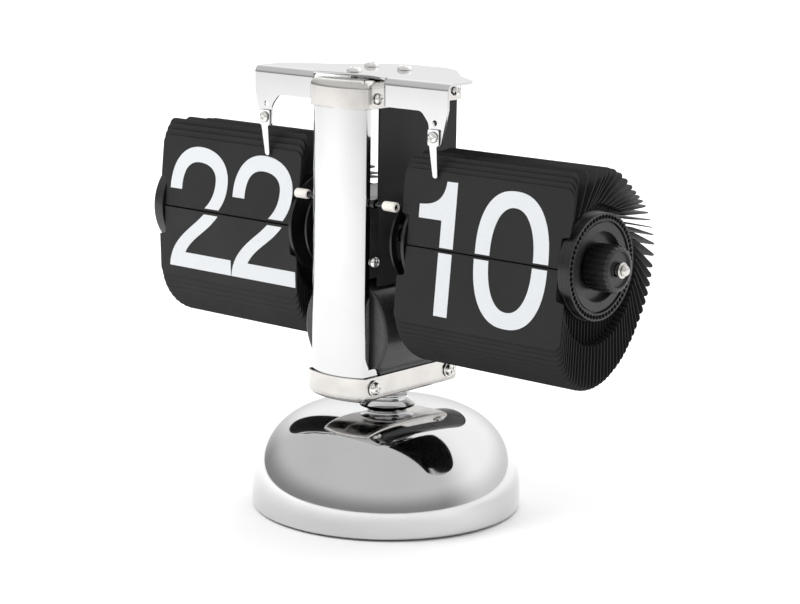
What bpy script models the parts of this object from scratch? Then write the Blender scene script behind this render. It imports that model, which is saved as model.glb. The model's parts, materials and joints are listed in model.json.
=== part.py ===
"""A desk flip number clock: two drums of number leaves on an open chrome column and a domed base.

Lengths here are in millimetres and angles in degrees; mesh data is written in metres, +Z up.
The origin is the centre of the base on the surface that the clock stands on, with +X towards the minutes.
"""

import math

import bmesh
import bpy
from mathutils import Matrix, Vector

for old_object in list(bpy.data.objects):
    bpy.data.objects.remove(old_object)

MM = 0.001
GAP = 0.3  # between pieces that touch on the real clock
SHEET = 0.7  # bracket steel
ROUND_STEPS = 24
FINE_STEPS = 28
SCREW_STEPS = 8
NOTCH_STEPS = 16

# Base
BASE_RADIUS = 46.0
RIM_HEIGHT = 4.84
DOME_HEIGHT = 35.2
DOME_WALL = 1.6
BOLT_RADIUS = 1.9

# Column and its brackets
BRACKET_HALF = 12.7
BRACKET_CORNER_Y = -26.0
BRACKET_BULGE = 3.3
BRACKET_REAR_Y = 21.4
LOWER_BRACKET_Z = (41.2, 49.7)
UPPER_BRACKET_Z = (138.3, 147.3)
COLUMN_WALL = 0.8
COLUMN_HALF = BRACKET_HALF - SHEET - GAP
COLUMN_Z = (43.0, 146.1)
COLUMN_RETURN_Y = -23.0
TAB_REAR_Y = -18.5
TAB_HEIGHT = 9.3
SCREW_SHANK = 1.15
SCREW_HOLE = 1.45
LOWER_SCREWS = ((-21.2, 46.0), (17.2, 46.0))
UPPER_SCREWS = ((-20.9, 141.5), (18.3, 141.5))
MIDDLE_SCREW = (-20.9, 88.1)

# Arm plate and clips
ARM_HALF = 42.3
ARM_Z = (147.7, 148.6)
FLANGE_Y = (-21.3, -20.5)
FLANGE_BOTTOM = 139.3
FLANGE_INNER_X = 15.5
ARM_TAB_BOTTOM = 128.6
CLIP_X = 36.9
CLIP_SCREW_Z = 131.5
CLIP_TIP_Z = 118.5
TOP_SCREWS = ((-6.5, -11.0), (-14.0, 6.0), (2.5, 4.5))

# Drums, on one axis parallel to X
AXIS_Y = -6.5
AXIS_Z = 95.4
PIVOT_RADIUS = 15.6
DRUM_SHIFT = 1.0  # both drums sit this far to the right of the column's middle
PLACE_SHIFT = 2.2  # turn of both drums that brings the split between the leaves above their axis
LEAF_LENGTH = 23.9
LEAF_EDGE = 0.5  # leaf edge beyond its pins
LEAF_THICK = 0.3
LEAF_OFFSET = 0.2  # crank between the pins of the falling leaf and its back face
LEAF_X = (22.85, 89.55)
NOTCH_WIDTH = 3.0
NOTCH_LENGTH = 8.8
FLANGE_RADIUS = 17.0
KNOB_RADIUS = 7.4
MINUTE_LEAVES = 60
HOUR_LEAVES = 48
# Lean of a leaf (0 up, 90 back, 180 down) against the place of its pins round the drum from the front
LEAN_POINTS = {
    "minute": ((0, 5), (24, 9), (30, 22), (38, 36), (54, 44), (69, 62), (93, 85), (111, 95), (138, 120), (158, 140),
               (183, 160), (203, 169), (233, 177), (273, 181), (333, 184), (360, 186)),
    "hour": ((0, 5), (30, 9), (37, 28), (44, 38), (56, 46), (69, 62), (93, 85), (111, 95), (138, 118), (158, 136),
             (183, 154), (203, 163), (233, 170), (273, 174), (333, 177), (360, 178)),
}
UPPER_PACK_END = {"minute": 25.0, "hour": 31.0}
BACK_PACK_END = 179.0

# Movement
CASE_X = (-10.3, 10.6)
CASE_Y = (-22.7, 21.6)
CASE_Z = (82.9, 108.9)
CASE_WALL = 1.0
PANEL_X = (10.9, 11.7)
PANEL_Y = (-18.6, 20.4)
PANEL_Z = (79.6, 146.1)
COUNTER_DISTANCE = 12.8
MOTOR_DISTANCE = 9.6
MOTOR_RADIUS = 4.8
PINION_TEETH = 8
COUNTER_TEETH = 32
HOUR_TEETH = 48
DRIVE_TEETH = 24

# Stops beside the upper leaves
STOP_CENTRE = (-22.4, 107.0)
STOP_REACH = 21.6
STOP_SHIFT = 0.6  # both stops sit this far to the right, as the drums do
STOP_ARM = 0.8
STOP_CAP = 1.6

# Battery tube, lying along Y in the lower bracket
TUBE_Z = 64.3
TUBE_RADIUS = 18.2
TUBE_BORE = 17.45
TUBE_Y = (-21.6, 43.7)
TUBE_FRONT_WALL = 3.4
CELL_RADIUS = 17.1
CELL_LENGTH = 60.2


# ---------------------------------------------------------------- helpers

def finish_material(name, colour, roughness, metallic):
    """One Principled material, made once and shared by name."""
    material = bpy.data.materials.get(name)
    if material is None:
        material = bpy.data.materials.new(name)
        material.use_nodes = True
        shader = material.node_tree.nodes["Principled BSDF"]
        shader.inputs["Base Color"].default_value = (*colour, 1.0)
        shader.inputs["Roughness"].default_value = roughness
        shader.inputs["Metallic"].default_value = metallic
    return material


FINISHES = {
    "chrome": ((0.86, 0.86, 0.87), 0.06, 1.0),
    "steel": ((0.62, 0.60, 0.58), 0.28, 1.0),
    "iron": ((0.12, 0.12, 0.13), 0.6, 1.0),
    "rubber": ((0.02, 0.02, 0.02), 0.8, 0.0),
    "black": ((0.015, 0.015, 0.016), 0.35, 0.0),
    "leaf": ((0.05, 0.05, 0.052), 0.55, 0.0),
    "nylon": ((0.80, 0.79, 0.75), 0.4, 0.0),
    "brass": ((0.75, 0.58, 0.28), 0.3, 1.0),
    "board": ((0.03, 0.16, 0.07), 0.5, 0.0),
    "cell": ((0.30, 0.31, 0.33), 0.35, 0.6),
}


def new_object(name, form, finish, hub=None):
    """The bmesh as an object. With a hub, the object's origin is at that point of its joint's axis."""
    origin = Vector(hub) * MM if hub else Vector((0.0, 0.0, 0.0))
    bmesh.ops.recalc_face_normals(form, faces=form.faces)
    bmesh.ops.transform(form, matrix=Matrix.Translation(-origin), verts=form.verts)
    mesh = bpy.data.meshes.new(name)
    form.to_mesh(mesh)
    form.free()
    for face in mesh.polygons:
        face.use_smooth = True
    mesh.set_sharp_from_angle(angle=math.radians(35))
    mesh.materials.append(finish_material(f"{name}_{finish}", *FINISHES[finish]))
    made = bpy.data.objects.new(name, mesh)
    made.location = origin
    bpy.context.collection.objects.link(made)
    return made


def along(axis, place, first, second):
    """A point from its place along an axis and its two coordinates across it."""
    return {
        "X": (place, first, second),
        "Y": (first, place, second),
        "Z": (first, second, place),
    }[axis]


def extruded(outline, axis, low, high):
    """A closed outline across an axis, carried from low to high along it."""
    form = bmesh.new()
    ring = [form.verts.new(Vector(along(axis, low, a, b)) * MM) for a, b in outline]
    face = form.faces.new(ring)
    grown = bmesh.ops.extrude_face_region(form, geom=[face])
    moved = [item for item in grown["geom"] if isinstance(item, bmesh.types.BMVert)]
    shift = Vector(along(axis, high - low, 0.0, 0.0)) * MM
    bmesh.ops.translate(form, verts=moved, vec=shift)
    return form


def turned(profile, axis, centre=(0.0, 0.0), steps=ROUND_STEPS):
    """A closed profile of (place along the axis, radius) points spun round the axis."""
    form = bmesh.new()
    middle = Vector(along(axis, 0.0, *centre)) * MM
    rim = [form.verts.new(Vector(along(axis, place, centre[0] + radius, centre[1])) * MM)
           for place, radius in profile]
    edges = [form.edges.new((rim[i - 1], rim[i])) for i in range(len(rim))]
    direction = Vector(along(axis, 1.0, 0.0, 0.0))
    bmesh.ops.spin(form, geom=rim + edges, cent=middle, axis=direction, angle=math.tau, steps=steps,
                   use_merge=True)
    bmesh.ops.remove_doubles(form, verts=form.verts, dist=0.00001)
    loose = [edge for edge in form.edges if not edge.link_faces]
    bmesh.ops.delete(form, geom=loose, context="EDGES")
    return form


def rod(radius, axis, low, high, centre, steps=24):
    """A solid round bar: a regular outline carried along its axis."""
    outline = [(centre[0] + radius * math.cos(math.tau * i / steps),
                centre[1] + radius * math.sin(math.tau * i / steps)) for i in range(steps)]
    return extruded(outline, axis, low, high)


def box(x, y, z):
    return extruded([(x[0], y[0]), (x[1], y[0]), (x[1], y[1]), (x[0], y[1])], "Z", *z)


def boolean(target, form, operation, label):
    """Cuts or joins a helper shape, which stays in the file as a hidden wire guide."""
    guide = new_object(f"guide_{target.name}_{label}", form, "steel")
    guide.hide_render = True
    guide.display_type = "WIRE"
    modifier = target.modifiers.new(label, "BOOLEAN")
    modifier.object = guide
    modifier.operation = operation
    modifier.solver = "EXACT"
    return guide


def rounded(outline, radii, steps=4):
    """The outline with each corner replaced by an arc of its radius, where that isn't 0."""
    points = []
    for i, corner in enumerate(outline):
        here = Vector(corner)
        if not radii[i]:
            points.append(tuple(here))
            continue
        before = (Vector(outline[i - 1]) - here).normalized()
        after = (Vector(outline[(i + 1) % len(outline)]) - here).normalized()
        half = before.angle(after) / 2
        centre = here + (before + after).normalized() * radii[i] / math.sin(half)
        start = here + before * radii[i] / math.tan(half) - centre
        end = here + after * radii[i] / math.tan(half) - centre
        turn = start.angle_signed(end)
        for k in range(steps + 1):
            points.append(tuple(centre + Matrix.Rotation(-turn * k / steps, 2) @ start))
    return points


# ---------------------------------------------------------------- base

def dome_curve(samples, inset):
    """Outer line of the dome from rim to crown: r = R (1 - t^1.9)^(1/3.74) over the height above the rim."""
    points = []
    for i in range(samples + 1):
        t = math.sin(math.pi / 2 * i / samples) * 0.9999
        radius = BASE_RADIUS * (1 - t ** 1.9) ** (1 / 3.74)
        height = RIM_HEIGHT + (DOME_HEIGHT - RIM_HEIGHT) * t
        scale = 1 - inset / BASE_RADIUS
        points.append((RIM_HEIGHT + (height - RIM_HEIGHT) * (1 - inset / 30.0), radius * scale))
    return [point for point in points if point[1] > 9.0]


def make_base():
    hole = BOLT_RADIUS + 0.4
    outer = [(0.6, 45.2), (1.0, 45.8), (2.0, BASE_RADIUS)] + dome_curve(9, 0.0)
    inner = dome_curve(5, DOME_WALL)[::-1] + [(0.6, BASE_RADIUS - DOME_WALL)]
    crown = [(DOME_HEIGHT, hole), (DOME_HEIGHT - DOME_WALL, hole)]
    new_object("base_dome", turned(outer + crown + inner, "Z", steps=32), "chrome")
    ballast = [(2.9, hole), (2.9, 42.0), (12.0, 42.0), (14.0, 38.0), (14.0, hole)]
    new_object("base_ballast", turned(ballast, "Z"), "iron")
    plate = [(1.4, hole), (1.4, 43.8), (2.6, 43.8), (2.6, hole)]
    new_object("base_plate", turned(plate, "Z"), "steel")
    foot = [(0.0, 31.0), (0.0, 41.0), (1.1, 41.6), (1.1, 30.4)]
    new_object("base_foot_ring", turned(foot, "Z"), "rubber")
    bolt = [(0.3, 0.0), (0.3, 4.6), (1.1, 4.6), (1.1, BOLT_RADIUS), (45.6, BOLT_RADIUS), (45.6, 0.0)]
    new_object("base_bolt", turned(bolt, "Z", steps=20), "steel")
    neck = [(35.5, hole), (35.5, 9.6), (36.2, 9.2), (37.2, 7.8), (38.2, 7.3), (39.3, 7.8), (40.3, 9.2),
            (40.9, 9.6), (40.9, hole)]
    new_object("neck", turned(neck, "Z"), "chrome")


# ---------------------------------------------------------------- column and brackets

def bowed_outline(half, corner_y, bulge, rear_y, corner=1.6):
    """A D from above: straight sides, an open square rear and a front that is one shallow arc."""
    radius = (half ** 2 + bulge ** 2) / (2 * bulge)
    span = math.asin(half / radius)
    front = []
    for i in range(9):
        angle = span * (i / 4 - 1)
        front.append((radius * math.sin(angle), corner_y - bulge + radius * (1 - math.cos(angle))))
    outline = front + [(half, rear_y), (-half, rear_y)]
    radii = [corner] + [0] * 7 + [corner, 0, 0]
    return rounded(outline, radii, 3)


def bowed_strip(half, corner_y, bulge, wall, rear_y, past):
    """The front and sides of that D as a wall of even thickness, open behind."""
    outer = bowed_outline(half, corner_y, bulge, rear_y)
    inner = bowed_outline(half - wall, corner_y + wall * 0.9, bulge, past, 1.0)
    return outer, inner


def side_cutters(target, places, x_from, x_to, radius, label):
    """Round holes along X through both sides, or the one that the two x values name."""
    for number, (y, z) in enumerate(places):
        boolean(target, rod(radius, "X", x_from, x_to, (y, z), SCREW_STEPS), "DIFFERENCE", f"{label}_{number}")


def make_bracket(name, z, cap_at_top, screws):
    outer, inner = bowed_strip(BRACKET_HALF, BRACKET_CORNER_Y, BRACKET_BULGE, SHEET, BRACKET_REAR_Y, 23.0)
    made = new_object(name, extruded(outer, "Z", *z), "steel")
    hollow = (z[0] - 1.0, z[1] - SHEET) if cap_at_top else (z[0] + SHEET, z[1] + 1.0)
    boolean(made, extruded(inner, "Z", *hollow), "DIFFERENCE", "hollow")
    side_cutters(made, screws, -14.0, 14.0, SCREW_HOLE, "screw_hole")
    return made


def make_cross_bolt(name, place, head_x):
    """A bar from one side of the clock to the other, with the same pan head on each end."""
    half = [(head_x, SCREW_SHANK), (head_x, 2.0), (head_x + 0.9, 2.0), (head_x + 1.5, 1.5), (head_x + 1.7, 0.8),
            (head_x + 1.7, 0.0)]
    profile = [(-x, r) for x, r in half[::-1]] + half
    new_object(name, turned(profile, "X", place, SCREW_STEPS), "chrome")


def make_screw(name, side, place, head_x):
    """A pan head with a washer under it, on the side of the clock that the sign names."""
    head = [(head_x + 0.9, 2.4), (head_x + 1.5, 1.9), (head_x + 1.8, 0.9), (head_x + 1.8, 0.0)]
    rim = [(head_x, 2.7), (head_x + 0.3, 2.7), (head_x + 0.3, 2.5)]
    profile = [(head_x - 3.0, 0.0), (head_x - 3.0, SCREW_SHANK), (head_x, SCREW_SHANK)] + rim + head
    form = turned([(side * x, r) for x, r in profile], "X", place, SCREW_STEPS)
    new_object(name, form, "chrome")


def make_column():
    outer, inner = bowed_strip(COLUMN_HALF, -25.3, BRACKET_BULGE, COLUMN_WALL, COLUMN_RETURN_Y, -20.0)
    column = new_object("front_column", extruded(outer, "Z", *COLUMN_Z), "chrome")
    boolean(column, extruded(inner, "Z", COLUMN_Z[0] - 1, COLUMN_Z[1] + 1), "DIFFERENCE", "hollow")
    tab_sides = (COLUMN_HALF - COLUMN_WALL, COLUMN_HALF)
    for end, z in (("low", (COLUMN_Z[0], COLUMN_Z[0] + TAB_HEIGHT)), ("high", (138.7, COLUMN_Z[1]))):
        rear = TAB_REAR_Y if end == "low" else -19.0
        for side, sign in (("left", -1), ("right", 1)):
            x = sorted(sign * edge for edge in tab_sides)
            boolean(column, box(x, (COLUMN_RETURN_Y - 0.6, rear), z), "UNION", f"{end}_{side}_tab")
    side_cutters(column, (LOWER_SCREWS[0], UPPER_SCREWS[0]), -14.0, 14.0, SCREW_HOLE, "screw_hole")
    tray = make_bracket("lower_bracket", LOWER_BRACKET_Z, False, LOWER_SCREWS)
    boolean(tray, rod(BOLT_RADIUS + 0.4, "Z", 40.0, 43.0, (0.0, 0.0), 20), "DIFFERENCE", "bolt_hole")
    cap = make_bracket("upper_bracket", UPPER_BRACKET_Z, True, UPPER_SCREWS)
    for number, y in enumerate(((-24.4, -23.5), (-18.2, -17.3))):
        boolean(cap, box((-14.0, 14.0), y, (138.0, 146.0)), "DIFFERENCE", f"bend_relief_{number}")
    for end, lower, upper in (("front", LOWER_SCREWS[0], UPPER_SCREWS[0]), ("rear", LOWER_SCREWS[1], UPPER_SCREWS[1])):
        make_cross_bolt(f"upper_bolt_{end}", upper, BRACKET_HALF + 0.2)
        for side, sign in (("left", -1), ("right", 1)):
            make_screw(f"lower_screw_{end}_{side}", sign, lower, BRACKET_HALF + 0.2)


# ---------------------------------------------------------------- arm plate and clips

def make_arm():
    half_outline = [(15.5, -20.9), (ARM_HALF, -20.9), (ARM_HALF, -9.8), (40.8, -7.0), (29.0, 1.4), (26.0, 4.4),
                    (15.5, 15.5), (8.0, 20.0)]
    mirror = [(-x, y) for x, y in half_outline[::-1]]
    front = [(-13.6, -20.9), (-11.0, -19.6), (-6.0, -18.6), (0.0, -18.2), (6.0, -18.6), (11.0, -19.6), (13.6, -20.9)]
    arm = new_object("arm_plate", extruded(half_outline + mirror + front, "Z", *ARM_Z), "chrome")
    for side, sign in (("hour", -1), ("minute", 1)):
        flange = [(FLANGE_INNER_X, 148.4), (FLANGE_INNER_X, FLANGE_BOTTOM + 1.0), (FLANGE_INNER_X + 1.0, FLANGE_BOTTOM),
                  (31.0, FLANGE_BOTTOM), (34.2, ARM_TAB_BOTTOM + 7.0), (34.4, ARM_TAB_BOTTOM), (39.4, ARM_TAB_BOTTOM),
                  (ARM_HALF, FLANGE_BOTTOM + 1.0), (ARM_HALF, 148.4)]
        outline = rounded([(sign * x, z) for x, z in flange], [0, 0, 0, 2.6, 0, 0.6, 1.2, 0, 0], 4)
        boolean(arm, extruded(outline, "Y", *FLANGE_Y), "UNION", f"{side}_flange")
    for side, sign in (("hour", -1), ("minute", 1)):
        boolean(arm, rod(1.0, "Y", -23.0, -19.0, (sign * CLIP_X, CLIP_SCREW_Z), 12), "DIFFERENCE", f"{side}_thread")
        boolean(arm, rod(0.9, "Y", -23.0, -19.0, (sign * CLIP_X, 135.8), 12), "DIFFERENCE", f"{side}_spare_hole")
    cap = bpy.data.objects["upper_bracket"]
    for number, (x, y) in enumerate(TOP_SCREWS):
        for target in (arm, cap):
            boolean(target, rod(SCREW_HOLE, "Z", 146.0, 150.0, (x, y), SCREW_STEPS), "DIFFERENCE", f"top_hole_{number}")
        top = ARM_Z[1] + 0.2
        profile = [(145.9, 0.0), (145.9, SCREW_SHANK), (top, SCREW_SHANK), (top, 2.7), (top + 0.5, 2.6),
                   (top + 1.2, 1.9), (top + 1.6, 0.9), (top + 1.6, 0.0)]
        new_object(f"arm_screw_{number + 1}", turned(profile, "Z", (x, y), SCREW_STEPS), "chrome")
    for side, sign in (("hour", -1), ("minute", 1)):
        make_clip(side, sign)


def make_clip(side, sign):
    """A spring finger: a square head on the arm's tab and a tapered tongue that leans back to the leaves."""
    outline = [(-2.25, 134.0), (-2.25, 129.0), (-1.55, 128.9), (-0.95, CLIP_TIP_Z + 0.9), (-0.5, CLIP_TIP_Z),
               (0.5, CLIP_TIP_Z), (0.95, CLIP_TIP_Z + 0.9), (1.55, 128.9), (2.25, 129.0), (2.25, 134.0)]
    form = extruded([(sign * CLIP_X + x, z) for x, z in outline], "Y", -22.1, -21.6)
    for vert in form.verts:
        below = max(0.0, 128.5 * MM - vert.co.z)
        vert.co.y += 0.13 * below
    clip = new_object(f"{side}_clip_finger", form, "chrome")
    boolean(clip, rod(1.2, "Y", -23.5, -20.0, (sign * CLIP_X, CLIP_SCREW_Z), 12), "DIFFERENCE", "hole")
    profile = [(-20.1, 0.0), (-20.1, 0.7), (-22.3, 0.7), (-22.3, 1.8), (-22.9, 1.7), (-23.5, 1.0), (-23.6, 0.0)]
    new_object(f"{side}_clip_screw", turned(profile, "Y", (sign * CLIP_X, CLIP_SCREW_Z), SCREW_STEPS), "chrome")


# ---------------------------------------------------------------- gears and movement

def gear_outline(teeth, radius, centre, phase):
    """Pointed teeth, narrower than their spaces at the pitch circle, so that a coarse step never touches."""
    module = 2 * radius / teeth
    points = []
    for i in range(2 * teeth):
        reach = radius + (0.7 if i % 2 == 0 else -1.05) * module
        angle = phase + math.pi * i / teeth
        points.append((centre[0] + reach * math.cos(angle), centre[1] + reach * math.sin(angle)))
    return points


def make_gear(name, teeth, radius, centre, phase, x, bore, hub):
    made = new_object(name, extruded(gear_outline(teeth, radius, centre, phase), "X", *x), "nylon", hub)
    boolean(made, rod(bore, "X", x[0] - 1, x[1] + 1, centre, 16), "DIFFERENCE", "bore")


def make_pinion(name, radius, centre, phase, x, shaft_radius, shaft_x, hub):
    """A pinion cut on its own shaft."""
    outline = gear_outline(PINION_TEETH, radius, centre, phase)
    made = new_object(name, extruded(outline, "X", *x), "brass", hub)
    boolean(made, rod(shaft_radius, "X", *shaft_x, centre, 12), "UNION", "shaft")


def make_movement():
    axis = (AXIS_Y, AXIS_Z)
    hub = (0.0, *axis)
    counter = (AXIS_Y + COUNTER_DISTANCE, AXIS_Z)
    counter_hub = (0.0, *counter)
    motor = (AXIS_Y - MOTOR_DISTANCE, AXIS_Z)
    motor_hub = (0.0, *motor)
    first_pinion = COUNTER_DISTANCE * PINION_TEETH / (PINION_TEETH + COUNTER_TEETH)
    second_pinion = COUNTER_DISTANCE * PINION_TEETH / (PINION_TEETH + HOUR_TEETH)
    motor_pinion = MOTOR_DISTANCE * PINION_TEETH / (PINION_TEETH + DRIVE_TEETH)

    def facing(teeth):
        """The phase that turns a gap of the gear towards -Y, where the pinion's tooth points."""
        return math.pi + math.pi / teeth

    make_gear("counter_gear", COUNTER_TEETH, COUNTER_DISTANCE - first_pinion, counter, facing(COUNTER_TEETH),
              (-4.2, -2.7), 1.2, counter_hub)
    make_gear("hour_gear", HOUR_TEETH, COUNTER_DISTANCE - second_pinion, axis, math.pi / HOUR_TEETH,
              (-9.6, -8.1), 2.3, hub)
    make_gear("minute_drive_gear", DRIVE_TEETH, MOTOR_DISTANCE - motor_pinion, axis, facing(DRIVE_TEETH),
              (4.5, 6.0), 2.3, hub)
    make_pinion("minute_pinion", first_pinion, axis, 0.0, (-4.6, -2.3), 0.9, (-5.4, 2.9), hub)
    make_pinion("counter_pinion", second_pinion, counter, math.pi, (-10.0, -7.7), 0.9, (-10.2, 9.3), counter_hub)
    make_pinion("motor_pinion", motor_pinion, motor, 0.0, (3.8, 6.6), 0.6, (0.8, 7.2), motor_hub)
    shell = [(-5.5, 0.0), (-5.5, MOTOR_RADIUS), (2.2, MOTOR_RADIUS), (2.2, 0.0)]
    can = new_object("motor", turned(shell, "X", motor, 20), "steel")
    boolean(can, rod(1.2, "X", 0.5, 4.0, motor, 14), "DIFFERENCE", "bearing")

    case = new_object("movement_case", box(CASE_X, CASE_Y, CASE_Z), "black")
    inside = [(CASE_Y[0] + CASE_WALL, CASE_Y[1] - CASE_WALL), (CASE_Z[0] + CASE_WALL, CASE_Z[1] - CASE_WALL)]
    boolean(case, box((-20.0, CASE_X[1] - CASE_WALL), *inside), "DIFFERENCE", "inside")
    boolean(case, box((CASE_X[1] - 0.5, PANEL_X[1]), (CASE_Y[0], PANEL_Y[0] - GAP), CASE_Z), "UNION", "screw_boss")
    boolean(case, rod(2.4, "X", 5.0, 14.0, axis, 20), "DIFFERENCE", "axle_hole")
    side_cutters(case, (MIDDLE_SCREW,), -14.0, 14.0, SCREW_HOLE, "screw_hole")
    cover = new_object("movement_cover", box((-11.7, -10.6), CASE_Y, CASE_Z), "black")
    boolean(cover, rod(2.4, "X", -14.0, -9.0, axis, 20), "DIFFERENCE", "axle_hole")
    side_cutters(cover, (MIDDLE_SCREW,), -14.0, -9.0, SCREW_HOLE, "screw_hole")
    new_object("circuit_board", box((-9.0, 9.0), (18.9, 20.3), (85.5, 106.3)), "board")
    make_cross_bolt("middle_bolt", MIDDLE_SCREW, PANEL_X[1] + 0.2)

    outline = rounded([(PANEL_Y[0], PANEL_Z[0]), (PANEL_Y[1], PANEL_Z[0]), (PANEL_Y[1], PANEL_Z[1]),
                       (PANEL_Y[0], PANEL_Z[1])], [0, 3.0, 0, 0])
    panel = new_object("side_panel", extruded(outline, "X", *PANEL_X), "leaf")
    boolean(panel, rod(2.6, "X", 9.0, 14.0, axis, 20), "DIFFERENCE", "axle_hole")
    side_cutters(panel, (UPPER_SCREWS[1],), 9.0, 14.0, SCREW_HOLE, "screw_hole")


def make_stops():
    """The stop arm from the case to the leaves' inner edge, with a nylon cap on its end."""
    start = PANEL_X[1] + 0.3
    for side, sign in (("hour", -1), ("minute", 1)):
        end = STOP_REACH + sign * STOP_SHIFT
        arm = [(start, 0.0), (start, 1.5), (start + 1.6, 1.5), (start + 1.6, STOP_ARM), (end, STOP_ARM), (end, 0.0)]
        new_object(f"{side}_stop_arm", turned([(sign * x, r) for x, r in arm], "X", STOP_CENTRE, 16), "steel")
        low, high = end - 5.0, end + 0.5
        cap = [(low, STOP_ARM + 0.3), (low, 1.3), (low + 0.7, STOP_CAP), (high, STOP_CAP), (high, STOP_ARM + 0.3)]
        new_object(f"{side}_stop_cap", turned([(sign * x, r) for x, r in cap], "X", STOP_CENTRE, 20), "nylon")


def make_battery():
    centre = (0.0, TUBE_Z)
    tube = new_object("battery_tube", rod(TUBE_RADIUS, "Y", *TUBE_Y, centre, 40), "black")
    for side, sign in (("left", -1), ("right", 1)):
        x = sorted((sign * 9.6, sign * COLUMN_HALF))
        boolean(tube, box(x, (-16.0, 20.6), (42.4, 55.0)), "UNION", f"{side}_rail")
    boolean(tube, box((-12.5, 12.5), (-18.0, 21.2), (50.0, 52.2)), "UNION", "ledge")
    bore = (TUBE_Y[0] + TUBE_FRONT_WALL, TUBE_Y[1] + 5.0)
    boolean(tube, rod(TUBE_BORE, "Y", *bore, centre, 40), "DIFFERENCE", "bore")
    for side, sign in (("left", -1), ("right", 1)):
        x = sorted((sign * 10.6, sign * 14.0))
        boolean(tube, box(x, (-23.0, -18.2), (40.0, 52.6)), "DIFFERENCE", f"{side}_tab_relief")
    side_cutters(tube, (LOWER_SCREWS[1],), -14.0, -9.0, SCREW_HOLE, "left_screw_hole")
    side_cutters(tube, (LOWER_SCREWS[1],), 9.0, 14.0, SCREW_HOLE, "right_screw_hole")
    start = TUBE_Y[0] + TUBE_FRONT_WALL
    front = [(start + 0.2, 0.0), (start + 0.2, 6.0), (start + 0.5, 6.0), (start + 0.5, 0.0)]
    new_object("battery_front_contact", turned(front, "Y", centre, 20), "brass")
    first = start + 0.8
    last = first + CELL_LENGTH
    cell = [(first, 0.0), (first, 4.7), (first + 1.6, 4.7), (first + 2.0, 15.6), (first + 3.2, CELL_RADIUS),
            (last - 1.0, CELL_RADIUS), (last, 15.8), (last, 0.0)]
    new_object("battery_cell", turned(cell, "Y", centre, 28), "cell")
    hub = (0.0, TUBE_Y[1], TUBE_Z)
    cap = [(TUBE_Y[1] + GAP, 0.0), (TUBE_Y[1] + GAP, TUBE_RADIUS - 0.4), (TUBE_Y[1] + 0.7, TUBE_RADIUS),
           (TUBE_Y[1] + 1.8, TUBE_RADIUS), (TUBE_Y[1] + 2.3, TUBE_RADIUS - 0.6), (TUBE_Y[1] + 2.3, 0.0)]
    new_object("battery_cap", turned(cap, "Y", centre, 40), "black", hub)
    spring = [(last + 0.3, 0.0), (last + 0.3, 4.0), (TUBE_Y[1], 7.0), (TUBE_Y[1], 0.0)]
    new_object("battery_rear_contact", turned(spring, "Y", centre, 20), "brass", hub)


# ---------------------------------------------------------------- drums and leaves

def lean_at(side, place):
    """Lean of the leaf whose pins are at this place round the drum."""
    points = LEAN_POINTS[side]
    for (a, lean_a), (b, lean_b) in zip(points, points[1:]):
        if place <= b:
            return lean_a + (lean_b - lean_a) * (place - a) / (b - a)
    return points[-1][1]


def pivot_at(place, radius=PIVOT_RADIUS):
    angle = math.radians(place)
    return Vector((AXIS_Y - radius * math.cos(angle), AXIS_Z + radius * math.sin(angle)))


def leaf_frame(side, place):
    """Pins, direction along the leaf, and the direction towards the next leaf up and back."""
    lean = math.radians(lean_at(side, place))
    return pivot_at(place), Vector((math.sin(lean), math.cos(lean))), Vector((math.cos(lean), -math.sin(lean)))


def valley(side, place, following):
    """The deepest point of the space between two leaves that is still wider than a leaf is thick."""
    pins, way, back = leaf_frame(side, place)
    next_pins, _, next_back = leaf_frame(side, following)
    depth = LEAF_LENGTH - 0.8
    for i in range(int(depth / 0.4)):
        reach = depth - 0.4 * i
        point = pins + way * reach + back * LEAF_THICK / 2
        if (next_pins - next_back * LEAF_THICK / 2 - point).dot(next_back) < LEAF_THICK:
            break
        depth = reach
    point = pins + way * max(depth, 1.2) + back * LEAF_THICK / 2
    across = (next_pins - next_back * LEAF_THICK / 2 - point).dot(next_back)
    return point + next_back * across / 2


def pack_profile(side, places):
    """Section of a pack of leaves: a comb whose teeth are the leaves, joined along their pins."""
    points = []
    pins, way, back = leaf_frame(side, places[0])
    points.append(pins - way * LEAF_EDGE - back * LEAF_THICK / 2)
    for place, following in zip(places, places[1:] + [None]):
        pins, way, back = leaf_frame(side, place)
        tip = pins + way * LEAF_LENGTH
        points += [tip - back * LEAF_THICK / 2, tip + back * LEAF_THICK / 2]
        if following is not None:
            points.append(valley(side, place, following))
    pins, way, back = leaf_frame(side, places[-1])
    points.append(pins + back * LEAF_THICK / 2)
    span = places[-1] - places[0]
    steps = max(2, round(span / 12))
    points += [pivot_at(places[-1] - span * i / steps, PIVOT_RADIUS - 1.1) for i in range(steps + 1)]
    return [tuple(point) for point in points]


def make_pack(name, side, sign, places):
    x = sorted(sign * edge + DRUM_SHIFT for edge in LEAF_X)
    pack = new_object(name, extruded(pack_profile(side, places), "X", *x), "leaf")
    for end, (low, high) in (("inner", (20.0, LEAF_X[0] + NOTCH_WIDTH)), ("outer", (LEAF_X[1] - NOTCH_WIDTH, 93.0))):
        cut = sorted((sign * low + DRUM_SHIFT, sign * high + DRUM_SHIFT))
        boolean(pack, rod(FLANGE_RADIUS + 0.9, "X", *cut, (AXIS_Y, AXIS_Z), NOTCH_STEPS), "DIFFERENCE", f"{end}_notch")


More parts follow.
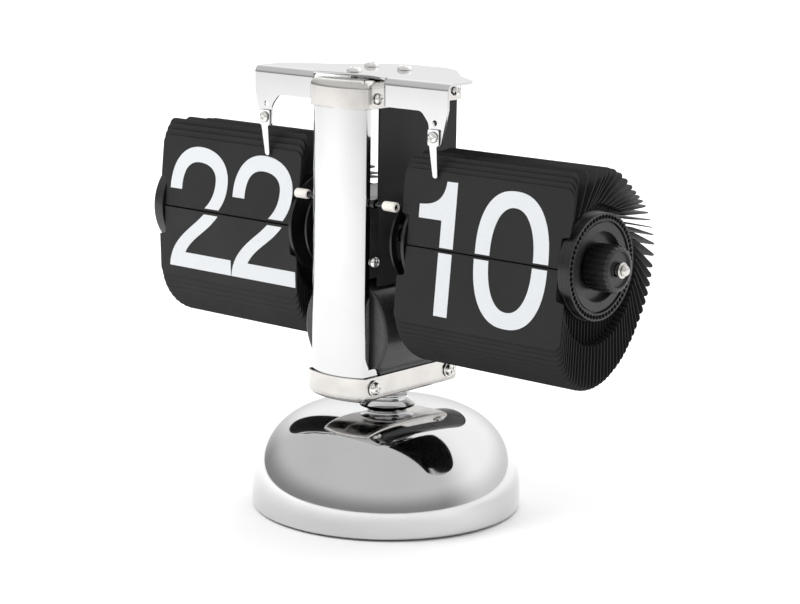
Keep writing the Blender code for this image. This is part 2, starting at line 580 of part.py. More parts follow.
def make_falling_leaf(side, sign, place):
    """The leaf that was let go last. It hangs from pins just below the middle, cranked to lie in front."""
    pins, way, normal = leaf_frame(side, place)
    half = (LEAF_X[1] - LEAF_X[0]) / 2
    middle = (LEAF_X[1] + LEAF_X[0]) / 2
    outline = [(-half + NOTCH_WIDTH, -LEAF_EDGE), (half - NOTCH_WIDTH, -LEAF_EDGE), (half - NOTCH_WIDTH, NOTCH_LENGTH),
               (half, NOTCH_LENGTH), (half, LEAF_LENGTH), (-half, LEAF_LENGTH), (-half, NOTCH_LENGTH),
               (-half + NOTCH_WIDTH, NOTCH_LENGTH)]
    outline = rounded(outline, [0, 0, 0, 0.8, 2.5, 2.5, 0.8, 0], 4)
    form = bmesh.new()
    ring = []
    for x, reach in outline:
        point = pins + way * reach + normal * LEAF_OFFSET
        ring.append(form.verts.new(Vector((sign * (middle + x) + DRUM_SHIFT, *point)) * MM))
    grown = bmesh.ops.extrude_face_region(form, geom=[form.faces.new(ring)])
    moved = [item for item in grown["geom"] if isinstance(item, bmesh.types.BMVert)]
    bmesh.ops.translate(form, verts=moved, vec=Vector((0.0, *normal)) * LEAF_THICK * MM)
    new_object(f"{side}_falling_leaf", form, "leaf", (sign * middle + DRUM_SHIFT, *pins))


def make_drum(side, sign, leaves):
    axis = (AXIS_Y, AXIS_Z)
    hub = (sign * 56.0, *axis)

    def round_piece(name, profile, finish, steps=ROUND_STEPS, shift=DRUM_SHIFT):
        new_object(f"{side}_{name}", turned([(sign * x + shift, r) for x, r in profile], "X", axis, steps), finish, hub)

    inner_end = 3.5 if side == "minute" else 7.6
    out = sign * DRUM_SHIFT
    round_piece("axle", [(inner_end, 0.0), (inner_end, 2.0), (98.2 + out, 2.0), (98.2 + out, 3.0), (99.8 + out, 3.0),
                         (100.2 + out, 2.6), (100.2 + out, 1.65), (101.4, 1.65), (101.9, 1.2), (101.9, 0.0)],
                "steel", 14, 0.0)
    round_piece("wheel_inner", [(16.8, 2.3), (16.8, 5.0), (18.3, 5.0), (18.3, 15.6), (19.3, 15.6), (19.3, 5.0),
                                (24.2, 5.0), (24.2, FLANGE_RADIUS), (25.5, FLANGE_RADIUS), (25.5, 13.2), (86.4, 13.2),
                                (86.4, 9.9), (27.0, 9.9), (27.0, 2.3)], "black", FINE_STEPS)
    round_piece("wheel_outer", [(83.0, 2.3), (83.0, 5.0), (86.9, 5.0), (86.9, FLANGE_RADIUS), (88.2, FLANGE_RADIUS),
                                (88.2, 16.9), (91.2, 16.9), (91.2, 14.4), (90.8, 14.2), (90.8, 11.0), (88.6, 11.0),
                                (88.6, 2.3)], "black", FINE_STEPS)
    ridges = []
    for i in range(48):
        radius = KNOB_RADIUS - 0.5 * (i % 2)
        angle = math.tau * i / 48
        ridges.append((AXIS_Y + radius * math.cos(angle), AXIS_Z + radius * math.sin(angle)))
    x = sorted((sign * 88.9 + DRUM_SHIFT, sign * 97.9 + DRUM_SHIFT))
    knob = new_object(f"{side}_knob", extruded(ridges, "X", *x), "black", hub)
    boolean(knob, rod(2.3, "X", x[0] - 1, x[1] + 1, axis, 20), "DIFFERENCE", "bore")

    step = 360 / leaves
    places = [step * (i + 0.5) + PLACE_SHIFT for i in range(leaves - 1)]
    split = UPPER_PACK_END[side]
    make_pack(f"{side}_upper_leaves", side, sign, [p for p in places if p < split])
    make_pack(f"{side}_back_leaves", side, sign, [p for p in places if split < p < BACK_PACK_END])
    make_pack(f"{side}_lower_leaves", side, sign, [p for p in places if p > BACK_PACK_END])
    make_falling_leaf(side, sign, 360 - step / 2 + PLACE_SHIFT)


make_base()
make_column()
make_arm()
make_movement()
make_stops()
make_battery()
make_drum("minute", 1, MINUTE_LEAVES)
make_drum("hour", -1, HOUR_LEAVES)
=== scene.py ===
# A desk flip number clock: chrome column, domed base and two drums of number leaves.
# Lengths in the dictionaries are in millimetres unless a note says otherwise.
import json
import math
import bpy
import bmesh
import numpy as np
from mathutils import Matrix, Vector

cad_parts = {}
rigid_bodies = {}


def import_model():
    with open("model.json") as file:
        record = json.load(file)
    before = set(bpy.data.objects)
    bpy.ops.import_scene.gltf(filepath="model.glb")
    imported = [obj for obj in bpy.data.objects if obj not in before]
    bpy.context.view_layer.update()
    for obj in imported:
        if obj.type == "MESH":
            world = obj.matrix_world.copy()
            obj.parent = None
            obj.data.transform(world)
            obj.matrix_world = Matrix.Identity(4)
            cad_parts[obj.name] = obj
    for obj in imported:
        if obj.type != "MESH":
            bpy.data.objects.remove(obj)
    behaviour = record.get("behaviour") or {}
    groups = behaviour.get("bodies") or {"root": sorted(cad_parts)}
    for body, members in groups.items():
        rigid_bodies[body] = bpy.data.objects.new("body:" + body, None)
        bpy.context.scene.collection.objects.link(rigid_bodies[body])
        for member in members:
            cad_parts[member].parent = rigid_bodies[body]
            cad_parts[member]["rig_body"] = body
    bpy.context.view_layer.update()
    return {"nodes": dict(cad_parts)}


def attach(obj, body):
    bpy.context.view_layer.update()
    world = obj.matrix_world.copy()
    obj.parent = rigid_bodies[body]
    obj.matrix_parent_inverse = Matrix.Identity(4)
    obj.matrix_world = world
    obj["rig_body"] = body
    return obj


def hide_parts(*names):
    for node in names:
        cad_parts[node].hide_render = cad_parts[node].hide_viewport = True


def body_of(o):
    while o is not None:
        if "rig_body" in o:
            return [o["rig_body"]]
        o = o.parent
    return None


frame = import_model()
mm = 0.001
nodes = frame["nodes"]
print("frame loaded:", len(nodes), "nodes")


# ---- shader helpers

class Link:
    # a socket that adds its own Math nodes when it is used in an expression
    def __init__(self, finish, socket):
        self.finish = finish
        self.socket = socket

    def math(self, operation, first, second):
        return self.finish.node("ShaderNodeMath", {"operation": operation}, {0: first, 1: second})

    def __add__(self, other):
        return self.math("ADD", self, other)

    def __radd__(self, other):
        return self.math("ADD", other, self)

    def __sub__(self, other):
        return self.math("SUBTRACT", self, other)

    def __rsub__(self, other):
        return self.math("SUBTRACT", other, self)

    def __mul__(self, other):
        return self.math("MULTIPLY", self, other)

    def __rmul__(self, other):
        return self.math("MULTIPLY", other, self)

    def __pow__(self, other):
        return self.math("POWER", self, other)

    def within(self, low, high, start=0.0, end=1.0):
        # start below low, end above high, a smooth step between
        return self.finish.node("ShaderNodeMapRange", {"interpolation_type": "SMOOTHSTEP"},
                                {"Value": self, "From Min": low, "From Max": high, "To Min": start, "To Max": end})


class Finish:
    # one material, or the world: constants go straight on the shader's sockets, what varies through connect
    def __init__(self, name, holder=None, shader="Principled BSDF", **constants):
        self.material = holder or bpy.data.materials.new(name)
        self.material.use_nodes = True
        self.tree = self.material.node_tree
        self.shader = self.tree.nodes[shader]
        for socket, value in constants.items():
            self.put(self.shader.inputs[socket.replace("_", " ")], value)

    def put(self, socket, value):
        if isinstance(value, Link):
            self.tree.links.new(value.socket, socket)
        elif isinstance(value, (tuple, list)) and socket.type == "RGBA":
            socket.default_value = (*value, 1.0) if len(value) == 3 else value
        else:
            socket.default_value = value

    def node(self, kind, settings=None, inputs=None, output=0):
        made = self.tree.nodes.new(kind)
        for key, value in (settings or {}).items():
            setattr(made, key, value)
        for key, value in (inputs or {}).items():
            self.put(made.inputs[key], value)
        return Link(self, made.outputs[output])

    def place(self, stretch=(1.0, 1.0, 1.0)):
        # object coordinates in millimetres, stretched along each axis
        spot = self.node("ShaderNodeTexCoord", output="Object")
        return self.node("ShaderNodeVectorMath", {"operation": "MULTIPLY"},
                         {0: spot, 1: tuple(1000.0 * part for part in stretch)})

    def noise(self, scale, detail=2.0, rough=0.5, stretch=(1.0, 1.0, 1.0)):
        return self.node("ShaderNodeTexNoise", None, {"Vector": self.place(stretch), "Scale": scale,
                                                      "Detail": detail, "Roughness": rough})

    def mix(self, factor, first, second):
        made = self.tree.nodes.new("ShaderNodeMix")
        made.data_type = "RGBA"
        self.put(made.inputs[0], factor)
        self.put(made.inputs[6], first)
        self.put(made.inputs[7], second)
        return Link(self, made.outputs[2])

    def bump(self, height, distance, strength=1.0):
        # distance in millimetres
        return self.node("ShaderNodeBump", None, {"Height": height, "Distance": distance * mm,
                                                  "Strength": strength})

    def connect(self, **links):
        for socket, value in links.items():
            self.put(self.shader.inputs[socket.replace("_", " ")], value)
        return self.material


# ---- finishes

def chromeFinish():
    # plated mirror with a breath of handling haze and hairline polish marks
    finish = Finish("mirrorChrome", Metallic=1.0)
    tone = (0.63, 0.63, 0.635)
    dull = finish.noise(0.06, 3.0).within(0.35, 0.75)
    hair = finish.noise(1.1, 2.0, 0.6, (0.25, 0.25, 6.0)).within(0.55, 0.8)
    rough = 0.028 + dull * 0.04 + hair * 0.02
    shade = finish.mix(dull, tone, tuple(part * 0.965 for part in tone))
    return finish.connect(Base_Color=shade, Roughness=rough, Normal=finish.bump(hair, 0.002, 0.25))


def steelFinish(name="markedSteel", tone=(0.66, 0.64, 0.615)):
    # polished sheet with fine lines along it, dull patches and small dark marks
    finish = Finish(name, Metallic=1.0)
    lines = finish.noise(0.9, 4.0, 0.65, (0.12, 0.12, 3.0))
    patches = finish.noise(0.09, 3.0).within(0.38, 0.72)
    marks = finish.noise(0.75, 5.0, 0.7).within(0.66, 0.78)
    shade = finish.mix(patches, tone, tuple(part * 0.86 for part in tone))
    shade = finish.mix(marks * 0.55, shade, tuple(part * 0.45 for part in tone))
    rough = 0.1 + patches * 0.08 + lines * 0.07 + marks * 0.12
    return finish.connect(Base_Color=shade, Roughness=rough, Normal=finish.bump(lines, 0.006, 0.4))


def screwFinish():
    # bright zinc on cold-formed heads, mottled with a darker zinc by a fine noise
    finish = Finish("screwPlate", Metallic=1.0)
    grain = finish.noise(2.4, 3.0, 0.6)
    shade = finish.mix(grain.within(0.4, 0.7), (0.86, 0.85, 0.83), (0.7, 0.69, 0.67))
    return finish.connect(Base_Color=shade, Roughness=0.12 + grain * 0.14, Normal=finish.bump(grain, 0.01, 0.4))


def leafFinish(name="leafSheet", tone=(0.02, 0.02, 0.0202)):
    # thin matt sheet: fine calendered grain, faint dust and a slight lift in sheen where it was handled
    finish = Finish(name, Specular_IOR_Level=0.16)
    grain = finish.noise(5.5, 3.0, 0.6)
    cloud = finish.noise(0.07, 3.0).within(0.3, 0.75)
    dust = finish.noise(2.2, 4.0, 0.75).within(0.7, 0.8)
    shade = finish.mix(cloud, tone, tuple(part * 1.12 for part in tone))
    shade = finish.mix(dust * 0.05, shade, (0.5, 0.5, 0.5))
    rough = 0.48 + grain * 0.1 - cloud * 0.06
    return finish.connect(Base_Color=shade, Roughness=rough, Normal=finish.bump(grain, 0.012, 0.35))


def printFinish():
    # screen-printed numbers: pale grey ink with a very slight mottle
    finish = Finish("numberInk", Specular_IOR_Level=0.35)
    mottle = finish.noise(1.6, 4.0, 0.65)
    shade = finish.mix(mottle.within(0.35, 0.75), (0.70, 0.72, 0.74), (0.67, 0.69, 0.71))
    return finish.connect(Base_Color=shade, Roughness=0.5 + mottle * 0.12, Normal=finish.bump(mottle, 0.008, 0.3))


def mouldedFinish(name, tone, low, high, grainSize=3.0, depth=0.02):
    # injection-moulded plastic: spark-eroded grain, flow streaks and rubbed patches
    finish = Finish(name)
    grain = finish.noise(grainSize, 3.0, 0.6)
    flow = finish.noise(0.12, 4.0, 0.6, (1.0, 0.4, 1.0)).within(0.35, 0.7)
    shade = finish.mix(flow, tone, tuple(part * 1.35 for part in tone))
    return finish.connect(Base_Color=shade, Roughness=low + flow * (high - low) + grain * 0.05,
                          Normal=finish.bump(grain, depth, 0.5))


def rubberFinish():
    finish = Finish("footRubber", Specular_IOR_Level=0.3)
    pores = finish.noise(3.5, 4.0, 0.7)
    shade = finish.mix(pores, (0.018, 0.018, 0.018), (0.035, 0.034, 0.033))
    return finish.connect(Base_Color=shade, Roughness=0.7 + pores * 0.2, Normal=finish.bump(pores, 0.05, 0.6))


def castFinish():
    finish = Finish("castWeight", Metallic=1.0)
    sand = finish.noise(1.8, 6.0, 0.7)
    rust = finish.noise(0.3, 5.0, 0.7).within(0.58, 0.75)
    shade = finish.mix(rust, (0.16, 0.16, 0.17), (0.2, 0.1, 0.06))
    return finish.connect(Base_Color=shade, Roughness=0.55 + sand * 0.25, Normal=finish.bump(sand, 0.15, 0.8))


def brassFinish():
    finish = Finish("turnedBrass", Metallic=1.0)
    lathe = finish.noise(1.5, 3.0, 0.6, (5.0, 0.4, 0.4))
    shade = finish.mix(lathe, (0.78, 0.6, 0.3), (0.62, 0.45, 0.2))
    return finish.connect(Base_Color=shade, Roughness=0.2 + lathe * 0.15, Normal=finish.bump(lathe, 0.01, 0.4))


def boardFinish():
    # green mask over copper tracks
    finish = Finish("boardMask")
    tracks = finish.node("ShaderNodeTexVoronoi", {"distance": "MANHATTAN", "feature": "DISTANCE_TO_EDGE"},
                         {"Vector": finish.place(), "Scale": 0.45})
    line = 1.0 - tracks.within(0.06, 0.1)
    shade = finish.mix(line, (0.02, 0.13, 0.05), (0.06, 0.26, 0.09))
    return finish.connect(Base_Color=shade, Roughness=0.35 + line * 0.1, Normal=finish.bump(line, 0.03, 0.6))


def cellFinish():
    # plain foil sleeve, a copper-coloured band at the front end
    finish = Finish("cellSleeve", Metallic=0.8)
    along = finish.node("ShaderNodeSeparateXYZ", None, {0: finish.place()}, 1)
    band = 1.0 - along.within(-2.0, -1.4)
    foil = finish.noise(0.8, 3.0, 0.6)
    shade = finish.mix(band, (0.09, 0.09, 0.1), (0.6, 0.33, 0.16))
    return finish.connect(Base_Color=shade, Roughness=0.25 + foil * 0.15, Normal=finish.bump(foil, 0.02, 0.4))


finishes = {
    "chrome": chromeFinish(),
    "steel": steelFinish(),
    "screw": screwFinish(),
    "dark": steelFinish("blackedSteel", (0.06, 0.06, 0.062)),
    "leaf": leafFinish(),
    "print": printFinish(),
    "panel": leafFinish("panelSheet", (0.028, 0.028, 0.0282)),
    "housing": mouldedFinish("housingPlastic", (0.012, 0.012, 0.013), 0.28, 0.42),
    "tube": mouldedFinish("tubePlastic", (0.030, 0.030, 0.031), 0.24, 0.34, 1.2, 0.008),
    "wheel": mouldedFinish("wheelPlastic", (0.005, 0.005, 0.0052), 0.28, 0.4, 4.0, 0.012),
    "nylon": mouldedFinish("naturalNylon", (0.66, 0.64, 0.59), 0.3, 0.42, 2.0, 0.01),
    "rubber": rubberFinish(),
    "iron": castFinish(),
    "brass": brassFinish(),
    "board": boardFinish(),
    "cell": cellFinish(),
}
print("finishes made:", len(finishes))


# ---- mesh helpers

def closedGrid(rows, columns, wrapRows, wrapColumns):
    # four-sided faces between the points of a grid that are next to each other, as one array
    i, j = np.meshgrid(np.arange(rows if wrapRows else rows - 1),
                       np.arange(columns if wrapColumns else columns - 1), indexing="ij")
    nextRow = (i + 1) % rows
    nextColumn = (j + 1) % columns
    return np.stack([i * columns + j, nextRow * columns + j, nextRow * columns + nextColumn,
                     i * columns + nextColumn], axis=-1).reshape(-1, 4)


def cleanMesh(name, points, faces):
    # points in millimetres, faces as index lists; doubles at poles are merged and normals turned out
    mesh = bpy.data.meshes.new(name)
    mesh.from_pydata(np.asarray(points, float) * mm, [], [list(map(int, face)) for face in faces])
    form = bmesh.new()
    form.from_mesh(mesh)
    bmesh.ops.remove_doubles(form, verts=form.verts, dist=1e-7)
    bmesh.ops.recalc_face_normals(form, faces=form.faces)
    form.to_mesh(mesh)
    form.free()
    return mesh


def addPiece(name, points, faces, *use, sharp=38.0):
    # use is the finish, the body, the slot and the nodes it stands for, as in settle; the slot is not used
    return settle(name, cleanMesh(name, points, faces), *use, sharp=sharp)


def evenShade(piece):
    # large faces keep their own direction, so flat chrome beside a rounded edge mirrors evenly
    even = piece.modifiers.new("evenShade", "WEIGHTED_NORMAL")
    even.mode = "FACE_AREA"
    even.weight = 90
    even.keep_sharp = True


def settle(name, mesh, finish, body, slotName, standsFor=(), sharp=38.0):
    # the finished mesh as a piece that rides on its body
    mesh.materials.clear()
    mesh.materials.append(finishes[finish])
    mesh.polygons.foreach_set("use_smooth", np.ones(len(mesh.polygons), bool))
    mesh.set_sharp_from_angle(angle=math.radians(sharp))
    piece = bpy.data.objects.new(name, mesh)
    bpy.context.scene.collection.objects.link(piece)
    evenShade(piece)
    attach(piece, body)
    if standsFor:
        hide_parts(*standsFor)
    return piece


axes = {"X": (0, 1, 2), "Y": (1, 0, 2), "Z": (2, 0, 1)}


def spunPoints(profile, axis, centre, steps):
    # a section of (place along the axis, radius) carried round it: centre + radius * (cos, sin)
    profile = np.asarray(profile, float)
    angle = np.linspace(0.0, math.tau, steps, endpoint=False)
    main, first, second = axes[axis]
    points = np.zeros((len(profile), steps, 3))
    points[..., main] = profile[:, :1]
    points[..., first] = centre[0] + profile[:, 1:] * np.cos(angle)
    points[..., second] = centre[1] + profile[:, 1:] * np.sin(angle)
    return points.reshape(-1, 3)


def spunPiece(name, profile, axis, centre, steps, *use, sharp=38.0):
    # the section is closed on itself, or starts and ends on the axis
    profile = np.asarray(profile, float)
    closed = profile[0, 1] > 1e-9 or profile[-1, 1] > 1e-9
    points = spunPoints(profile, axis, centre, steps)
    return addPiece(name, points, closedGrid(len(profile), steps, closed, True), *use, sharp=sharp)


def eased(corners, radii, steps=5):
    # a closed outline whose corners are rounded by arcs: each arc is a quadratic curve from edge to edge
    corners = np.asarray(corners, float)
    radii = np.broadcast_to(radii, len(corners))
    before = np.roll(corners, 1, axis=0) - corners
    after = np.roll(corners, -1, axis=0) - corners
    before /= np.linalg.norm(before, axis=1, keepdims=True)
    after /= np.linalg.norm(after, axis=1, keepdims=True)
    half = np.arccos(np.clip((before * after).sum(1), -1, 1)) / 2
    reach = (radii / np.maximum(np.tan(half), 1e-3))[:, None]
    t = np.linspace(0, 1, steps + 1)[None, :, None]
    weight = np.sin(half)[:, None, None]
    start = (corners + before * reach)[:, None]
    end = (corners + after * reach)[:, None]
    middle = corners[:, None]
    top = (1 - t) ** 2 * start + 2 * weight * t * (1 - t) * middle + t ** 2 * end
    bottom = (1 - t) ** 2 + 2 * weight * t * (1 - t) + t ** 2
    curve = top / bottom
    keep = [curve[i] if radii[i] > 0 else corners[i:i + 1] for i in range(len(corners))]
    return np.concatenate(keep)


def shrunk(outline, inset):
    # every point moved inwards along the mean of its two edge normals (outline runs anticlockwise)
    edge = np.roll(outline, -1, axis=0) - outline
    edge /= np.maximum(np.linalg.norm(edge, axis=1, keepdims=True), 1e-9)
    normal = np.stack([-edge[:, 1], edge[:, 0]], axis=1)
    mean = normal + np.roll(normal, 1, axis=0)
    mean /= np.maximum((mean ** 2).sum(1, keepdims=True) / 2, 0.35)
    return outline + mean * inset


def anticlockwise(outline):
    x, y = outline[:, 0], outline[:, 1]
    area = (x * np.roll(y, -1) - np.roll(x, -1) * y).sum()
    return outline if area > 0 else outline[::-1]


def stacked(outline, rows, axis):
    # the outline at each row (place along the axis, inset), closed at both ends
    main, first, second = axes[axis]
    count = len(outline)
    points = np.zeros((len(rows), count, 3))
    for row, (place, inset) in enumerate(rows):
        ring = shrunk(outline, inset)
        points[row, :, main] = place
        points[row, :, first] = ring[:, 0]
        points[row, :, second] = ring[:, 1]
    faces = [list(face) for face in closedGrid(len(rows), count, False, True)]
    faces += [list(range(count)), list(range((len(rows) - 1) * count, len(rows) * count))]
    return points.reshape(-1, 3), faces


def platePoints(outline, axis, low, high, edge=0.15, steps=3):
    # an outline carried along an axis, drawn in at both ends by a quarter round of radius edge
    turn = np.linspace(0, math.pi / 2, steps + 1)
    rows = [(low + edge * (1 - math.sin(a)), edge * (1 - math.cos(a))) for a in turn[::-1]]
    rows += [(high - edge * (1 - math.sin(a)), edge * (1 - math.cos(a))) for a in turn]
    return stacked(anticlockwise(np.asarray(outline, float)), rows, axis)


def platePiece(name, outline, axis, low, high, *use, edge=0.15, sharp=50.0):
    return addPiece(name, *platePoints(outline, axis, low, high, edge), *use, sharp=sharp)


def carve(piece, operation, *others):
    # a Boolean with helper meshes, applied at once, and the helpers removed
    piece.modifiers.clear()
    for other in others:
        modifier = piece.modifiers.new("carve", "BOOLEAN")
        modifier.operation = operation
        modifier.object = other
        modifier.solver = "EXACT"
        depsgraph = bpy.context.evaluated_depsgraph_get()
        result = bpy.data.meshes.new_from_object(piece.evaluated_get(depsgraph))
        piece.modifiers.clear()
        piece.data = result
        bpy.data.objects.remove(other)
    piece.data.polygons.foreach_set("use_smooth", np.ones(len(piece.data.polygons), bool))
    piece.data.set_sharp_from_angle(angle=math.radians(40))
    while len(piece.data.materials) > 1:
        piece.data.materials.pop()
    evenShade(piece)
    return piece


def helper(points, faces):
    # a closed shape that only cuts or joins
    made = bpy.data.objects.new("helper", cleanMesh("helper", points, faces))
    bpy.context.scene.collection.objects.link(made)
    return made


def plateHelper(outline, axis, low, high):
    return helper(*platePoints(outline, axis, low, high, 0.0, 1))


def blockHelper(x, y, z, edge=0.0):
    corners = [(x[0], y[0]), (x[1], y[0]), (x[1], y[1]), (x[0], y[1])]
    return helper(*platePoints(corners, "Z", *z, edge, 2 if edge else 1))


def pairedBlocks(box, edge=0.0):
    # the same block on both sides of the middle
    x, y, z = box
    return [blockHelper(sorted((sign * x[0], sign * x[1])), y, z, edge) for sign in (-1, 1)]


def barHelper(radius, axis, low, high, centre, steps=32):
    profile = [(low, 0.0), (low, radius), (high, radius), (high, 0.0)]
    return helper(spunPoints(profile, axis, centre, steps), closedGrid(4, steps, False, True))


def refined(node, finish, slotName, width):
    # a CAD node's own shape with its edges broken, as a piece that stands for it
    mesh = nodes[node].data.copy()
    form = bmesh.new()
    form.from_mesh(mesh)
    bmesh.ops.remove_doubles(form, verts=form.verts, dist=2e-6)
    bmesh.ops.dissolve_limit(form, angle_limit=math.radians(1.0), verts=form.verts, edges=form.edges)
    sharpAngle = 0.6  # radians
    edges = [edge for edge in form.edges if len(edge.link_faces) == 2 and edge.calc_face_angle(0) > sharpAngle]
    bmesh.ops.bevel(form, geom=edges, offset=width * mm, segments=2, profile=0.5, affect="EDGES",
                    clamp_overlap=True)
    form.to_mesh(mesh)
    form.free()
    body = body_of(nodes[node])[0]
    return settle(node + "_shape", mesh, finish, body, slotName, (node,), 40.0)


def assign(node, finish):
    # a CAD node that is shown as it is
    shown = nodes[node].data
    shown.materials.clear()
    shown.materials.append(finishes[finish])


# ---- base

baseSizes = {
    "radius": 46.0, "rim": 4.84, "height": 35.2, "wall": 1.5, "hole": 2.3, "steps": 192,
    "roll": 1.0, "rollHeight": 1.6, "innerLow": 0.9, "sharpness": (1.9, 3.74), "innerFall": 30.0,
    # (height, radius) round the sections of the foot ring, the plate under the dome and the neck's two lips
    "ring": ((0.02, 31.0), (0.02, 41.0), (1.1, 41.5), (1.1, 30.5)),
    "plate": ((1.4, 2.3), (1.4, 43.5), (1.6, 43.8), (2.6, 43.8), (2.6, 2.3)),
    "lips": ((35.52, 2.3), (40.88, 2.3)),
    # the neck's middle height, half its height, its waist and how much it swells
    "spool": (38.2, 2.68, 6.9, 2.6),
}


def domeLine(samples, inset):
    # radius falls from the rim as (1 - t^1.9)^(1/3.74), t the share of the height above the rim
    s = baseSizes
    power, root = s["sharpness"]
    t = np.sin(np.linspace(0, math.pi / 2, samples)) * 0.99995
    radius = s["radius"] * (1 - t ** power) ** (1 / root)
    height = (s["height"] - s["rim"]) * t
    share = 1 - inset / s["radius"]
    line = np.stack([s["rim"] + height * (1 - inset / s["innerFall"]), radius * share], axis=1)
    return line[line[:, 1] > 8.0]  # the flat crown goes straight from here to the hole


def makeBase():
    s = baseSizes
    # the wall stands straight, then rolls under in a small round at the floor
    angle = np.linspace(-math.pi / 2, 0, 7)
    roll = s["roll"]
    foot = np.stack([s["rollHeight"] + roll * np.sin(angle), s["radius"] - roll + roll * np.cos(angle)], axis=1)
    outer = np.concatenate([foot, domeLine(90, 0.0)])
    inner = np.concatenate([domeLine(28, s["wall"])[::-1], [(s["innerLow"], s["radius"] - s["wall"])]])
    crown = [(s["height"], s["hole"]), (s["height"] - s["wall"], s["hole"])]
    spunPiece("dome", np.concatenate([outer, crown, inner]), "Z", (0, 0), s["steps"], "chrome", "frame", "chrome",
              ("base_dome",))
    spunPiece("footRing", eased(s["ring"], [0.3, 0.3, 0, 0]), "Z", (0, 0), 128, "rubber", "frame", "rubber",
              ("base_foot_ring",))
    spunPiece("bottomPlate", s["plate"], "Z", (0, 0), 128, "steel", "frame", "steel", ("base_plate",))
    # a waisted spool: its radius swells from the middle to both ends as a square law
    middle, half, waist, swell = s["spool"]
    rise = np.linspace(-1, 1, 33)
    spool = np.stack([middle + half * rise, waist + swell * rise ** 2], axis=1)
    spunPiece("neckSpool", np.concatenate([s["lips"][:1], spool, s["lips"][1:]]), "Z", (0, 0), 96, "chrome",
              "frame", "chrome", ("neck",))
    assign("base_bolt", "steel")
    assign("base_ballast", "iron")


# ---- column, brackets and their screws

columnSizes = {
    "half": 11.7, "corner": -25.3, "bulge": 3.3, "wall": 0.8, "low": 43.0, "high": 146.1, "returnY": -23.0,
    "edge": 0.18, "soft": (0.9, 0.7),
    # the side tabs that the screws go through, each as a box on the right side
    "lowerTab": ((10.9, 11.7), (-23.5, -18.5), (43.0, 52.3)),
    "upperTab": ((10.9, 11.7), (-23.5, -19.0), (138.7, 146.1)),
}
bracketSizes = {"half": 12.7, "corner": -26.0, "bulge": 3.3, "wall": 0.7, "rear": 21.4, "bend": 2.6, "soft": 1.3,
                "lip": 0.12, "lower": (41.2, 49.7), "upper": (138.3, 147.3)}
screwSpots = {"lower": ((-21.2, 46.0), (17.2, 46.0)), "upper": ((-20.9, 141.5), (18.3, 141.5)),
              "middle": (-20.9, 88.1), "top": ((-4.2, -13.6), (-12.0, 3.8), (3.2, 3.1)),
              "face": 12.9, "middleFace": 11.9, "topFace": 148.75, "hole": 1.45}


def bowedFront(half, corner, bulge, samples):
    # the shallow front arc from left to right, a circle through both corners and the middle
    radius = (half ** 2 + bulge ** 2) / (2 * bulge)
    angle = np.linspace(-1, 1, samples) * math.asin(half / radius)
    return np.stack([radius * np.sin(angle), corner - bulge + radius * (1 - np.cos(angle))], axis=1)


def bowedD(half, corner, bulge, rear, soft, samples=49):
    # the bowed front, its two corners softened by arcs, and straight sides to the rear
    front = bowedFront(half, corner, bulge, samples)
    trim = int(samples * soft / (2 * half)) + 1
    kept = front[trim:-trim]
    left = cornerArc(np.array([-half, corner + soft * 1.2]), front[0], kept[0])
    right = cornerArc(kept[-1], front[-1], np.array([half, corner + soft * 1.2]))
    return np.concatenate([left, kept, right, [(half, rear), (-half, rear)]])


def cornerArc(start, corner, end, steps=7):
    # quadratic curve that leaves start and reaches end with its handle on the corner
    t = np.linspace(0, 1, steps)[:, None]
    return ((1 - t) ** 2 * start + 2 * t * (1 - t) * corner + t ** 2 * end)[:-1]


def boltHoles(spots, low=-14, high=14):
    return [barHelper(screwSpots["hole"], "X", low, high, spot) for spot in spots]


def makeColumn():
    s = columnSizes
    wall = s["wall"]
    outer = bowedD(s["half"], s["corner"], s["bulge"], s["returnY"], s["soft"][0])
    inner = bowedD(s["half"] - wall, s["corner"] + wall * 0.9, s["bulge"], s["returnY"], s["soft"][1])
    # the outer line from its rear left end, then the inner line back: open behind
    band = np.concatenate([outer[-1:], outer[:-1], inner[-2:-1], inner[:-2][::-1], inner[-1:]])
    piece = platePiece("columnSheet", band, "Z", s["low"], s["high"], "chrome", "frame", "chrome",
                       ("front_column",), edge=s["edge"], sharp=35.0)
    carve(piece, "UNION", *pairedBlocks(s["lowerTab"], 0.1), *pairedBlocks(s["upperTab"], 0.1))
    carve(piece, "DIFFERENCE", *boltHoles((screwSpots["lower"][0], screwSpots["upper"][0])))


def trayPoints(z, openUp):
    # a pressed tray: the outer wall rolls into its closed face by the bend radius, the inner wall follows
    s = bracketSizes
    wall, lip = s["wall"], s["lip"]
    sign = 1 if openUp else -1
    closedZ, rimZ = z if openUp else z[::-1]
    turn = np.linspace(0, math.pi / 2, 7)

    def bent(start, radius, angles):
        return [(closedZ + sign * (start + radius * (1 - math.sin(a))), start + radius * (1 - math.cos(a)))
                for a in angles]

    rows = bent(0.0, s["bend"], turn[::-1])
    rows += [(rimZ - sign * lip, 0.0), (rimZ, lip), (rimZ, wall - lip), (rimZ - sign * lip, wall)]
    rows += bent(wall, s["bend"] - wall, turn)
    outline = anticlockwise(bowedD(s["half"], s["corner"], s["bulge"], s["rear"] + 6.0, s["soft"]))
    return stacked(outline, rows, "Z")


def makeBracket(name, node, z, openUp, screws):
    s = bracketSizes
    piece = addPiece(name, *trayPoints(z, openUp), "steel", "frame", "steel", (node,), sharp=40.0)
    beyond = blockHelper((-20, 20), (s["rear"], 40), (z[0] - 5, z[1] + 5))
    carve(piece, "DIFFERENCE", beyond, *boltHoles(screws))


